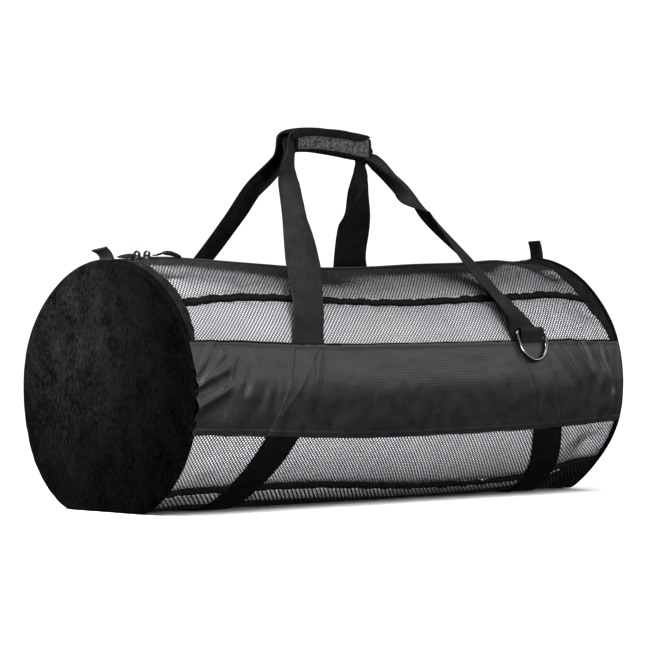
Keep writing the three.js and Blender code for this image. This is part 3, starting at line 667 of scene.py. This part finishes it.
def endPanel(name, side, node):
    share, reaches, stands = np.array(panelLook["profile"]).T
    folds = []
    for a0, r0, a1, r1, *shape in panelLook["folds"]:
        (y0, z0), (y1, z1) = rotated(r0, 0, a0), rotated(r1, 0, a1)
        folds.append((-y0, z0, -y1, z1, *shape))

    def place(u, v):
        angle = 360 * u - 90
        reach = np.interp(v, share, reaches)
        stand = np.interp(v, share, stands)
        rim = wallPoint(side * wall["end"], angle, 0) / mm
        scale = np.maximum(0, 1 + reach / wall["radius"])
        y = rim[..., 1] * scale
        z = wall["centre"] + (rim[..., 2] - wall["centre"]) * scale
        z = np.maximum(z, 0.4)
        inside = np.clip((-reach - 2) / 8, 0, 1)
        soft = 0.55 * ripple(y, z, 60, 21) + 0.28 * ripple(y, z, 24, 22)
        middle = np.clip(1 + reach / wall["radius"], 0, 1)
        stand = stand + inside * (creases(folds, y, z - wall["centre"]) + soft * (0.4 + 0.6 * middle))
        roll = np.clip(1 - np.abs(reach) / 8, 0, 1)
        stand = stand + roll * lerp(0.12, 0.5, np.clip(0.5 - z / 300, 0, 1)) * ripple(y, z, 18, 23)
        x = side * (wall["end"] + 0.3 + stand)
        return np.stack([x, y, z], -1) * mm

    panel = gridPiece(name, 180, 44, place, lambda u, v: place(u, v)[:, 1:])  # weave runs flat over the disc
    merged(panel, 1e-5)
    thicken(panel, panelLook["thickness"])
    settle(panel, [panelCloth], "panel_cloth", node)


endPanel("panel_left_cloth", -1, "end_panel_left")
endPanel("panel_right_cloth", 1, "end_panel_right")
print("end panels made")

# straps and bands
strapLook = {
    "width": 48,
    "lies": 2.1,
    "thickness": 1.6,
    # angle and distance of the middle from the bag's middle
    "left": [(-90, 272), (-48, 254), (-21, 229), (21, 186), (36, 172)],
    "right": [(-90, 284), (-48, 266), (-21, 237), (21, 198), (36, 177)],
}


def strapEdges(side, angle):
    table = strapLook["left"] if side < 0 else strapLook["right"]
    front = np.where(angle >= -90, angle, -180 - angle)
    centre = through(table, front)
    slope = (through(table, front + 1) - through(table, front - 1)) / 2 / lengthOf(1)
    half = strapLook["width"] / 2 * np.hypot(1, slope)
    return side * centre, half


def strap(name, side, node):
    def place(u, v):
        angle = lerp(-180 - wall["strapEnd"], wall["strapEnd"], v)
        centre, half = strapEdges(side, angle)
        across = 2 * u - 1
        x = centre + half * across
        selvedge = 0.25 * bell(np.abs(across) - 0.95, 0.06)
        return wallPoint(x, angle, strapLook["lies"] + selvedge + 0.2 * ripple(x, angle * 2.7, 45, 31))

    run = gridPiece(name, 12, 130, place, (0.048, 0.6))
    thicken(run, strapLook["thickness"])
    settle(run, [shadedStrapWebbing], "strap_webbing", node)


strap("strap_left_webbing", -1, "strap_left")
strap("strap_right_webbing", 1, "strap_right")

bandLook = {
    "thickness": 1.2,
    "lies": 2.3,
    "overStrap": 1.3,
    "hem": 8,
    # ridges and valleys along x and round the wall, in mm from the middle of the front
    "frontFolds": [
        (-374, 24, -342, 58, 4, 6, 2.4), (-368, 14, -328, 46, 3.0, 4.5, 2.6),
        (-377, 9, -330, 27, 4.0, 5.5, 4.6), (-380, -1, -330, 15, 3.0, 6.0, -5.5),
        (-378, -16, -336, 2, 7.5, 6, 6.6), (-372, -36, -340, -26, 7, 8, -1.8),
        (-305, 34, -313, 17, 3.5, 4.5, -1.9), (-290, 22, -299, 5, 4, 5, -1.9),
        (-276, 47, -274, 32, 3.5, 4, -1.7), (-282, 30, -290, 0, 6, 7, 1.0),
        (-268, 4, -274, -14, 5, 6, -1.2), (-246, 22, -252, -12, 4, 6, -1.0), (250, 46, 282, 6, 5, 7, 2.8),
        (268, 44, 296, 10, 6, 8, -1.6), (280, 50, 312, 14, 5, 7, 3.2), (300, 46, 322, 8, 6, 9, -1.7),
        (308, 50, 332, 0, 5, 7, 3.2), (330, 44, 350, -2, 6, 9, -1.6), (342, 42, 362, -14, 5, 7, 2.6),
        (304, -10, 308, -40, 9, 10, -0.9), (328, -12, 332, -40, 9, 10, 0.9),
        (352, -14, 354, -44, 6, 7, -0.9), (366, 40, 368, -40, 3, 3, -0.8),
        (-290, 3, 240, -3, 21, 21, 2.6), (-120, 34, -60, 30, 12, 14, -0.6),
        (20, 36, 90, 32, 12, 14, -0.5), (60, -34, 150, -30, 12, 14, 0.6),
        (-176, 50, -238, -28, 2.4, 2.4, 1.1), (214, 0, 250, -48, 2.4, 2.4, 0.9),
    ],
    "rearFolds": [
        (-372, 2, -320, 38, 4, 8, -3.0), (-372, -8, -316, -20, 5, 8, 2.4),
        (-300, 30, -292, -24, 5, 7, -1.6), (300, 36, 330, 4, 5, 7, 2.2), (338, 30, 362, -14, 5, 7, -2.0),
        (-300, 4, 300, 4, 15, 15, 1.0), (-60, 28, 20, 22, 12, 14, -0.8), (80, -28, 170, -22, 12, 14, 0.8),
    ],
    # rows of stitching over the straps, from x and round to x and round
    "sewn": [
        (-210, 52, -251, -52), (-165, 52, -208, -52), (-174, 49, -233, -27), (-178, 47, -197, -16),
        (178, 52, 216, -52), (219, 52, 258, -52), (204, 5, 207, -54), (209, -1, 256, -51),
    ],
}


def bandOut(x, angle, folds):
    up = np.where(angle > 90, 180 - angle, angle)
    around = lengthOf(up)
    out = bandLook["lies"] + creases(folds, x, around)
    out = out + 0.28 * ripple(x, around, 46, 41) + 0.1 * ripple(x, around, 15, 42)
    for side in (-1, 1):
        centre, half = strapEdges(side, up)
        out = out + bandLook["overStrap"] * 0.5 * (1 + np.tanh((half - np.abs(x - centre)) / 1.6))
    edge = np.minimum(lengthOf(bandHigh(x) - up), lengthOf(up - bandLow(x)))
    inner = edge - bandLook["hem"]
    out = out + 0.45 * 0.5 * (1 - np.tanh(inner / 0.7)) - 0.35 * bell(inner, 0.9)
    out = out + 0.22 * ripple(x, 0 * x, 9, 43) * bell(edge, 5)
    return np.maximum(out, 1.55)


def bandX(u):  # closer columns towards the ends, where it folds
    return np.interp(u, [0, 0.24, 0.7, 1], [-wall["end"], -300, 240, wall["end"]])


def sideBand(name, node, folds, rear, columns):
    def place(u, v):
        x = bandX(u)
        angle = lerp(bandLow(x), bandHigh(x), np.interp(v, [0, 0.2, 0.8, 1], [0, 0.1, 0.9, 1]))
        angle = angle + 0.14 * ripple(x, 0 * x, 60, 44) * np.abs(2 * v - 1)
        if rear:
            angle = 180 - angle
        return wallPoint(x, angle, bandOut(x, angle, folds))

    def sewn(x, around):
        angle = 180 - degreesOf(around) if rear else degreesOf(around)
        return wallPoint(x, angle, bandOut(x, angle, folds) + 0.05)

    band = gridPiece(name, columns, 46, place, lambda u, v: np.stack([bandX(u) * mm, v * 0.116], -1))
    if rear:
        edited(band, bpy.ops.mesh.flip_normals)
    thicken(band, bandLook["thickness"])
    settle(band, [bandCloth, tapeCloth], "band_cloth", node)
    rebind(band, lambda x, y, z: np.degrees(np.arctan2(z - wall["centre"], np.abs(y))) > bandHigh(x) - 0.75)
    along = np.linspace(-wall["end"] + 4, wall["end"] - 4, 500)
    hems = (lengthOf(bandHigh(along)) - 5, lengthOf(bandLow(along)) + 5)
    lines = [seamLine(sewn, along, hem, 0.5) for hem in hems]
    for x0, low, x1, high in bandLook["sewn"]:
        lines.append(seamLine(sewn, np.linspace(x0, x1, 80), np.linspace(low, high, 80), 0.5))
    if rear:
        lines = [(line, -out) for line, out in lines]
    stitches(band, lines)


sideBand("band_front_cloth", "band_front", bandLook["frontFolds"], False, 360)
sideBand("band_rear_cloth", "band_rear", bandLook["rearFolds"], True, 150)
print("straps and bands made")

# handles: flat webbing that leaves the wall, folds over and runs through the grip
gripRows = [
    (-75, -8, 441, -30, 174), (-50, -8.2, 442, -30, 174), (-11, -8.2, 440, -30, 174),
    (30, -8.2, 435, -24, 174),
]
handleLook = {
    "width": 48,
    "thickness": 1.6,
    # x, y, z of the spine, roll about the run, how far the inner half folds under
    "front": [
        (-147, -98, 297, 15, 12), (-110, -53, 357.5, 24, 65), (-95, -30, 395, 23, 109),
        (-88, -17, 423, -30, 175), *gripRows, (49, -11, 431.5, 34, 174), (64, -15, 424.5, 23, 145),
        (97, -29, 399, 47, 137), (115, -51, 360.5, 61, 21), (157, -94, 298, 52, 60),
    ],
    "rear": [
        (-145, -98, 297, 18, 6), (-134.5, -53, 357.5, 32, 55), (-126, -30, 395, 39, 108),
        (-91, -17, 423, 24, 139), *gripRows, (46, -10, 431.5, 11, 175), (50, -17, 419, -24, 175),
        (55, -30, 391.5, 21, 123), (77.5, -51, 359, 40, 62), (114, -94, 296, 15, 12),
    ],
    # how the legs leave the bands: side, angle, out, way across, fold
    "feet": [
        (-1, 21, 1.3, (1, 0, 0), 0), (-1, 27, 1.3, (1, 0, 0), 0), (-1, 34, 7, (0.98, -0.02, -0.15), 0),
        (1, 34, 13.8, (-0.81, -0.59, -0.15), 18), (1, 27, 6, (-1, -0.12, 0), 0),
        (1, 21, 1.3, (-1, 0, 0), 0),
    ],
}


def curveThrough(points, at):  # centripetal curve through points, at counts rows
    points = np.array(points, float)
    last = len(points) - 1
    i = min(int(at), last - 1)
    w = at - i
    p1, p2 = points[i], points[i + 1]
    p0 = points[i - 1] if i > 0 else 2 * p1 - p2
    p3 = points[i + 2] if i + 2 <= last else 2 * p2 - p1
    d0, d1, d2 = (max(np.sum((b - a) ** 2) ** 0.25, 1e-4) for a, b in ((p0, p1), (p1, p2), (p2, p3)))
    t1 = ((p1 - p0) / d0 - (p2 - p0) / (d0 + d1) + (p2 - p1) / d1) * d1
    t2 = ((p2 - p1) / d1 - (p3 - p1) / (d1 + d2) + (p3 - p2) / d2) * d1
    return p1 + t1 * w + (-3 * p1 + 3 * p2 - 2 * t1 - t2) * w**2 + (2 * p1 - 2 * p2 + t1 + t2) * w**3


def foldedAcross(fold, width, share):  # place and turn across folded webbing, share runs 0 to 1
    turn = max(math.radians(fold), 1e-3)
    bend = lerp(13, 5.6, fold / 180)
    run = (share - 0.5) * width
    if run <= 0:
        return run, 0, 0
    if run <= bend:
        a = turn * run / bend
        return bend * math.sin(a) / turn, bend * (math.cos(a) - 1) / turn, a
    rest = run - bend
    endOut, endUp = bend * math.sin(turn) / turn, bend * (math.cos(turn) - 1) / turn
    return endOut + rest * math.cos(turn), endUp - rest * math.sin(turn), turn


def handle(name, node, run, mirror):
    rows = []
    for side, angle, out, across, fold in handleLook["feet"]:
        point = wallPoint(side * through(strapLook["left" if side < 0 else "right"], angle), angle, out) / mm
        rows.append([point, np.array(across, float), fold])
    rows[3:3] = [[np.array(r[:3], float), r[3], r[4]] for r in run]
    points = [row[0] for row in rows]
    for k in range(3, len(rows) - 3):
        along = unit(points[k + 1] - points[k - 1])
        outward = np.array([0, -math.cos(math.radians(30)), math.sin(math.radians(30))])
        outward = unit(outward - along * np.dot(outward, along))
        flat = np.cross(along, outward)
        roll = math.radians(rows[k][1])
        rows[k][1] = flat * math.cos(roll) + outward * math.sin(roll)
    sides = [row[1] for row in rows]
    last = len(rows) - 1
    steps, wide = 9 * last, 24
    surface = np.zeros((wide + 1, steps + 1, 3))
    for s in range(steps + 1):
        at = s / steps * last
        fold = np.interp(at, range(last + 1), [row[2] for row in rows])
        tangent = unit(curveThrough(points, min(at + 0.02, last)) - curveThrough(points, max(at - 0.02, 0)))
        centre, across = curveThrough(points, at), unit(curveThrough(sides, at))
        normal = np.cross(across, tangent)
        shear = np.linalg.norm(normal)
        for c in range(wide + 1):
            out, up, turn = foldedAcross(fold, handleLook["width"] / shear, c / wide)
            selvedge = 0.22 * bell(abs(2 * c / wide - 1) - 0.94, 0.07)
            out, up = out + selvedge * math.sin(turn), up + selvedge * math.cos(turn)
            surface[c, s] = centre + across * out + normal / shear * up
    if mirror:
        surface[..., 1] *= -1

    def place(u, v):
        return surface[np.rint(u * wide).astype(int), np.rint(v * steps).astype(int)] * mm

    length = lengthsAlong(surface[wide // 2])[-1] * mm
    piece = gridPiece(name, wide, steps, place, (0.048, length))
    if mirror:
        edited(piece, bpy.ops.mesh.flip_normals)
    thicken(piece, handleLook["thickness"], 0)
    settle(piece, [webbing], "strap_webbing", node)
    return length


frontLength = handle("handle_front_webbing", "handle_front", handleLook["front"], False)
rearLength = handle("handle_rear_webbing", "handle_rear", handleLook["rear"], True)
print("handles made:", round(frontLength, 3), round(rearLength, 3))

# grip: a padded wrap bound in black, and the flap over its top
gripLook = {
    "left": -80, "right": 51, "halfWidth": 11.2, "halfHeight": 15, "wall": 2.0, "flap": 1.8, "puff": 1.2,
    "binding": 4.5,
    # x and the height of the middle there, x and half the height of the section
    "arch": [
        (-92, 448.6), (-86, 450), (-45, 452.1), (-21, 450.9), (5, 448.8), (26, 446.3), (39, 444.9),
        (56, 443.2),
    ],
    "tall": [(-92, 13.8), (-45, 13.8), (-21, 14.2), (5, 14.8), (56, 15.1)],
}


def gripHeight(x):
    return through(gripLook["arch"], x)


def gripTall(x):  # height of the section as a share of the drawn one
    return through(gripLook["tall"], x) / gripLook["halfHeight"]


w, h = gripLook["halfWidth"], gripLook["halfHeight"]
wrapRows = [
    (w - 3, h), (0, h), (-w + 2.5, h), (-w + 0.7, h - 0.8), (-w, h - 3), (-w - 0.5, h / 2), (-w - 0.6, 0),
    (-w - 0.5, -h / 2), (-w, -h + 4), (-w + 1, -h + 1.2), (-w + 3.5, -h), (0, -h), (w - 3.5, -h),
    (w - 1, -h + 1.2), (w, -h + 4), (w + 0.5, -h / 2), (w + 0.6, 0), (w + 0.5, h / 2), (w, h - 3),
    (w - 0.6, h - 0.6), (w - 2.6, h),
]
flapRows = [
    (w - 0.6, h - 6), (w + 0.9, h - 3), (w + 0.4, h - 0.2), (w - 2.6, h + 1.9), (0, h + 2.4),
    (-w + 2.4, h + 2), (-w - 0.9, h + 0.2), (-w - 2.2, h - 3), (-w - 2.6, h - 6), (-w - 2.5, h - 8.4),
]
gripCreases = [
    (-34, 10, -56, -7, 1.2, 1.2, -2.2), (-24, 10, -47, -8, 1.2, 1.2, -2.2),
    (-36, 8, -50, -4, 2.6, 2.6, 1.0),
]


def bindingAt(x, y, z):  # 1 on the black bindings of the wrap, 0 on its grey face
    width = gripLook["binding"]
    ends = (x < gripLook["left"] + width) | (x > gripLook["right"] - width)
    return ends | (z < -h + 3.6) | (np.abs(y) < w - 3)


def wrapPlace(u, v):
    x = lerp(gripLook["left"], gripLook["right"], u)
    y, z = rowAt(wrapRows, v)
    z = z * (1 - 0.16 * np.clip((u - 0.93) / 0.07, 0, 1) ** 2 * (z > 0))
    ends = np.clip(np.minimum(u, 1 - u) / 0.06, 0, 1)
    puff = gripLook["puff"] * np.sqrt(np.clip(ends, 0.05, 1)) * np.sqrt(np.clip(1 - (z / h) ** 4, 0, 1))
    puff = puff + np.where(y < -4, creases(gripCreases, x, z), 0) + 0.3 * ripple(x, z + y, 16, 51)
    puff = np.where(bindingAt(x, y, z), 0.7 + 0.15 * ripple(x, z + y, 9, 52), puff)
    reach = np.minimum(np.abs(y) / w, 1)
    y = y + np.sign(y) * puff * (0.35 + 0.65 * reach) * reach
    return np.stack([x, y, gripHeight(x) + z * gripTall(x)], -1) * mm


def flapPlace(u, v):
    x = lerp(gripLook["left"] - 7, gripLook["right"] - 2, u)
    y, z = rowAt(flapRows, v)
    tip = np.clip((u - 0.84) / 0.16, 0, 1) ** 1.5
    z = lerp(z, np.maximum(z, h + 0.2), tip) + 0.12 * ripple(x, y, 30, 53)
    bend = 5.5 * np.clip((0.18 - u) / 0.18, 0, 1) ** 2 + 0.6 * tip
    return np.stack([x, y * (1 - 0.12 * tip), gripHeight(x) + z * gripTall(x) - bend], -1) * mm


gripPad = gridPiece("grip_pad", 100, 70, wrapPlace, (0.129, 0.1))
edited(gripPad, bpy.ops.mesh.normals_make_consistent, inside=False)
thicken(gripPad, gripLook["wall"])
settle(gripPad, [gripClothWithSheen, tapeCloth], "grip_cloth", "grip_wrap")
rebind(gripPad, lambda x, y, z: bindingAt(x, y, (z - gripHeight(x)) / gripTall(x)))
flap = gridPiece("grip_flap", 70, 24, flapPlace, (0.15, 0.05))
thicken(flap, gripLook["flap"], 0)
flap.data.materials.append(tapeCloth)
joined(gripPad, [flap])
print("grip made")

# d-ring and the webbing fold that holds it
ringLook = {
    "x": 201, "bar": (-149.09, 211.811), "wire": 2.3, "halfWidth": 25.4, "depth": 38.5, "arm": 10,
    "corner": 2.5, "lean": 17,
}


def ringOutline(count):
    half, arm, corner = ringLook["halfWidth"], ringLook["arm"], ringLook["corner"]
    bow = ringLook["depth"] - arm
    points = [(-half + corner, 0, 0), (-half / 3, 0, 0), (half / 3, 0, 0), (half - corner, 0, 0)]
    points += [(half, 0, -corner), (half, 0, -arm)]
    for degrees in range(20, 180, 20):
        a = math.radians(degrees)
        points.append((half * math.cos(a), 0, -arm - bow * math.sin(a)))
    points += [(-half, 0, -arm), (-half, 0, -corner)]
    closed = [points[-1], *points, points[0], points[1]]
    return np.array([curveThrough(closed, 1 + k / count * len(points)) for k in range(count)])


ringPath = ringOutline(144)


def ringPlace(u, v):
    count = len(ringPath)
    k = np.rint(u * count).astype(int) % count
    ahead = unit(ringPath[(k + 1) % count] - ringPath[(k - 1) % count])
    a = 2 * math.pi * v[:, None]
    away = np.cos(a) * np.cross(ahead, (0, 1, 0)) + np.sin(a) * np.array((0, 1, 0))
    point = ringPath[k] + ringLook["wire"] * away
    y, z = rotated(point[:, 1], point[:, 2], -ringLook["lean"])
    return (np.stack([point[:, 0], y, z], -1) + (ringLook["x"], *ringLook["bar"])) * mm


dRing = gridPiece("d_ring_wire", 144, 16, ringPlace, (0.16, 0.0157))
merged(dRing)
settle(dRing, [ringSteel], "ring_steel", "d_ring", body="d_ring")

loopLook = {"width": 41, "thickness": 1.6, "bend": 4.4, "barHeight": 10.5, "barOut": 7.6, "tail": 3.2}


def loopPlace(u, v):
    bend, barOut, barHeight = loopLook["bend"], loopLook["barOut"], loopLook["barHeight"]
    rows = [(barOut - bend, 0.6), (barOut - bend, barHeight)]
    for degrees in range(165, -40, -12):
        a = math.radians(degrees)
        rows.append((barOut + bend * math.cos(a), barHeight + bend * math.sin(a)))
    rows += [(6.2, -0.6), (5.3, -loopLook["tail"])]
    along = lengthsAlong(rows)
    away, rise = rotated(*rowAt(rows, v * along[-1], along), wall["strapEnd"])
    base = wallPoint(ringLook["x"], wall["strapEnd"], 0) / mm
    return (np.stack([(u - 0.5) * loopLook["width"], -away, rise], -1) + base) * mm


ringLoop = gridPiece("ring_loop_webbing", 16, 48, loopPlace, (0.041, 0.045))
thicken(ringLoop, loopLook["thickness"], 0)
settle(ringLoop, [webbing], "strap_webbing", "d_ring_loop")
print("d-ring made")

# zip: tapes, coil, sliders and pulls
zipLook = {"tape": 1.0, "pitch": 2.4, "tooth": (1.6, 3.4, 2.2), "seat": 0.6}


def zipTape(name, low, high, node):
    def place(u, v):
        x = lerp(-wall["netEnd"], wall["netEnd"], u)
        out = -0.1 + 0.2 * ripple(x, v * 6, 24, 61) + 0.6 * bell(v - (0.95 if low < 90 else 0.05), 0.14)
        return wallPoint(x, lerp(low, high, v), out)

    strip = gridPiece(name, 180, 5, place, (0.71, 0.014))
    thicken(strip, zipLook["tape"])
    settle(strip, [tapeCloth], "tape_cloth", node)
    along = np.linspace(0.004, 0.996, 400)
    row = 0.2 if low < 90 else 0.8
    stitches(strip, [seamLine(place, along, row, 0.002)])


zipTape("zip_tape_front_cloth", 90 - zipOuter, 90 - zipInner, "zip_tape_front")
zipTape("zip_tape_rear_cloth", 90 + zipInner, 90 + zipOuter, "zip_tape_rear")


def zipTeeth():
    long, wide, high = zipLook["tooth"]
    section = [(-0.5, 0), (-0.42, 0.6), (-0.15, 1), (0.15, 1), (0.42, 0.6), (0.5, 0)]
    n = len(section)
    points = []
    faces = []
    for k in range(int(2 * wall["netEnd"] / zipLook["pitch"])):
        for side in (-1, 1):
            x0 = -wall["netEnd"] + (k + (0.25 if side < 0 else 0.75)) * zipLook["pitch"]
            first = len(points)
            for y, size in ((-0.6, 0.7), (0.4, 1.0), (wide - 1.2, 0.95), (wide - 0.5, 0.55)):
                tall = high * (0.4 + 0.6 * size)
                points += [(x0 + sx * long * size, side * y, (sz - 0.45) * tall) for sx, sz in section]
            ring = range(first, first + n)
            tooth = [tuple(ring)[::-1], tuple(a + 3 * n for a in ring)]
            for r in range(0, 3 * n, n):
                tooth += [(a + r, b + r, b + r + n, a + r + n) for a, b in zip(ring, [*ring[1:], first])]
            faces += tooth if side < 0 else [face[::-1] for face in tooth]
    points = np.array(points)
    base = wallPoint(points[:, 0], 90, zipLook["seat"]) / mm
    base[:, 1] = points[:, 1]
    base[:, 2] += points[:, 2]
    teeth = arrayPiece("zip_teeth", (base * mm).tolist(), faces)
    merged(teeth, 1e-7)
    settle(teeth, [zipPlastic], "zip_plastic", "zip_coil")


zipTeeth()
for name, finish in (("slider_left", sliderMetal), ("slider_right", sliderMetal), ("pull_link", ringSteel)):
    nodes[name].data.materials.clear()
    nodes[name].data.materials.append(finish)

# pulls: rows of x, z, half width and half height along the run, and a turn about it
pullLook = {
    "leaf": [
        (-362, 305.0, 0.4, 0.3), (-360, 305.1, 1.5, 0.9), (-354, 305.6, 3.2, 1.6),
        (-346, 306.2, 4.4, 2.0), (-339, 306.8, 3.9, 1.9), (-334, 307.2, 2.8, 1.5),
        (-331.6, 307.3, 0.4, 0.3),
    ],
    "moulded": [
        (-300, 307.6, 0.3, 0.3), (-299, 307.8, 1.2, 1.2), (-290, 310.0, 1.3, 1.3),
        (-287.6, 310.2, 1.9, 1.7), (-286, 310.2, 3.2, 2.5), (-278, 309.8, 4.0, 2.9),
        (-270, 308.0, 4.0, 2.7), (-263, 305.8, 3.2, 2.2), (-260, 304.9, 0.4, 0.3),
    ],
    "leafTurn": 24,
    "mouldedTurn": 12,
    "ringHeight": 309.4,  # each pull's ring goes through its slider's bridge
}


def pullPiece(name, rows, turn, ribs, ringX, node):
    place = np.linspace(0, 1, len(rows))
    table = [list(zip(place, column)) for column in zip(*rows)]

    def lay(u, v):
        x, z, wide, high = (through(column, v) for column in table)
        a = 2 * math.pi * u
        ribbed = np.clip((v - 0.5) * 6, 0, 1) * np.clip((0.93 - v) * 12, 0, 1)
        swell = 1 + ribs * np.sin(v * 2 * math.pi * 16) * ribbed
        across, up = np.maximum(wide, 0.02) * np.cos(a) * swell, np.maximum(high, 0.02) * np.sin(a) * swell
        y, rise = rotated(across, up, turn)
        return np.stack([x, y, z + rise], -1) * mm

    pull = gridPiece(name, 24, 96, lay, (0.02, 0.034))
    merged(pull, 1e-5)
    settle(pull, [pullRubber], "pull_rubber", node)
    bpy.ops.mesh.primitive_torus_add(
        location=(ringX * mm, 0, pullLook["ringHeight"] * mm), rotation=(0, math.pi / 2, 0),
        major_radius=3.0 * mm, minor_radius=0.75 * mm, major_segments=28, minor_segments=8)
    bpy.ops.object.transform_apply(location=True, rotation=True, scale=True)
    bpy.ops.object.shade_smooth()
    ring = bpy.context.object
    ring.data.materials.append(sliderMetal)
    joined(pull, [ring])


pullPiece("pull_left_leaf", pullLook["leaf"], pullLook["leafTurn"], 0.0, -331, "pull_left")
pullPiece("pull_right_moulded", pullLook["moulded"], pullLook["mouldedTurn"], 0.05, -315, "pull_right")

# tabs: webbing folded double in the end seams
tabLook = {"thickness": 1.4}


def seamTab(name, seatX, width, lean, height, droop, node):
    ply = (tabLook["thickness"] + 0.5) / 2
    up = [(lean * t * t, height * t) for t in np.linspace(0, 1, 12)]
    rows = [(x - ply, z) for x, z in up]
    rows += [(lean + side * ply, height + rise * ply) for side, rise in ((-0.6, 0.8), (0, 1), (0.6, 0.8))]
    rows += [(x + ply, z) for x, z in reversed(up)]
    seat = wallPoint(seatX, 90, 0) / mm

    def place(u, v):
        x, z = rowAt(rows, v)
        rear = droop * u * np.clip(z / height, 0, 1)
        y = (u - 0.5) * width * (1 - 0.05 * z / height)
        return np.stack([seat[0] + x * (1 + 1.4 * rear), y, seat[2] + z * (1 - rear)], -1) * mm

    tab = gridPiece(name, 10, 54, place, (width * mm, 2 * height * mm))
    thicken(tab, tabLook["thickness"], 0)
    settle(tab, [webbing], "strap_webbing", node)


seamTab("tab_left_webbing", -378, 23, -10, 15, 0.24, "tab_left")
seamTab("tab_right_webbing", 373, 20, -5, 24, 0.04, "tab_right")
print("zip and tabs made")

# studio
studio = {
    "overhead": 2.9, "spread": 40, "above": 0.5, "below": 0.1, "backdrop": 1.1,
    "key": 46, "fill": 150, "rim": 16, "disc": 2.0, "gamma": 0.8,
}
bpy.ops.mesh.primitive_plane_add(size=14, location=(0, 0, -0.0006))
floor = bpy.context.object
floor.name = "floor"
bpy.ops.object.transform_apply(location=True)
floorPaint, floorShader = newFinish("floor_paint", 0.9, 0.1)
floorTone = colourOf(floorPaint, noiseOf(floorPaint, 0.8, 2), (0.8, 0.8, 0.8), (0.84, 0.84, 0.84))
connect(floorPaint, floorShader, Base_Color=floorTone)
floor.data.materials.append(floorPaint)
floor.visible_glossy = False

world = bpy.data.worlds.new("studio")
world.use_nodes = True
bpy.context.scene.world = world
soft = world.node_tree.nodes["Background"]
soft.inputs["Color"].default_value = (1, 1, 1, 1)
heading = addNode(world, "TexCoord", {}).outputs["Generated"]
skyward = addNode(world, "MapRange", {
    "Value": addNode(world, "SeparateXYZ", {0: heading}).outputs["Z"],
    "From Min": -0.05, "From Max": 0.3, "To Min": studio["below"], "To Max": studio["above"],
})
connect(world, soft, Strength=skyward.outputs["Result"])
backdrop = addNode(world, "Background", {"Color": (1, 1, 1, 1), "Strength": studio["backdrop"]})
seen = addNode(world, "LightPath", {}).outputs["Is Camera Ray"]
mix = addNode(world, "MixShader", {0: seen, 1: soft.outputs[0], 2: backdrop.outputs[0]})
connect(world, world.node_tree.nodes["World Output"], Surface=mix.outputs[0])


def light(kind, name, place, aim, power):
    bpy.ops.object.light_add(type=kind, location=place)
    lamp = bpy.context.object
    lamp.name = name
    lamp.data.energy = power
    lamp.rotation_euler = (Vector(aim) - Vector(place)).to_track_quat("-Z", "Y").to_euler()
    return lamp


def softbox(name, place, aim, size, power, spread=180):
    lamp = light("AREA", name, place, aim, power)
    lamp.data.shape = "RECTANGLE"
    lamp.data.size, lamp.data.size_y = size
    lamp.data.spread = math.radians(spread)
    lamp.visible_camera = False


overhead = light("SUN", "overhead_light", (0, 0, 3), (0.05, 0.4, 2), studio["overhead"])
overhead.data.angle = math.radians(studio["spread"])
softbox("key_box", (2.7, -2.1, 1.75), (0, 0, 0.2), (1.8, 1.5), studio["key"])
softbox("fill_box", (-0.5, -3.6, 0.35), (0, 0, 0.15), (1.6, 0.7), studio["fill"])
softbox("rim_box", (-0.68, -0.15, 0.95), (-0.378, 0, 0.2), (0.5, 0.3), studio["rim"])
softbox("disc_box", (-1.05, 0.1, 0.56), (-0.378, 0.07, 0.21), (0.12, 0.12), studio["disc"], 29)
bpy.context.scene.view_settings.view_transform = "Standard"
bpy.context.scene.view_settings.gamma = studio["gamma"]

camera = bpy.data.objects.new("camera", bpy.data.cameras.new("camera"))
bpy.context.collection.objects.link(camera)
camera.location = (-3.15599, -3.30172, 0.28612)
aim = Vector((-0.01839, 0, 0.22013))
camera.rotation_euler = (aim - camera.location).to_track_quat("-Z", "Y").to_euler()
camera.data.lens = 199.49
camera.data.sensor_width = 36
camera.data.clip_end = 50
bpy.context.scene.camera = camera
print("studio ready")
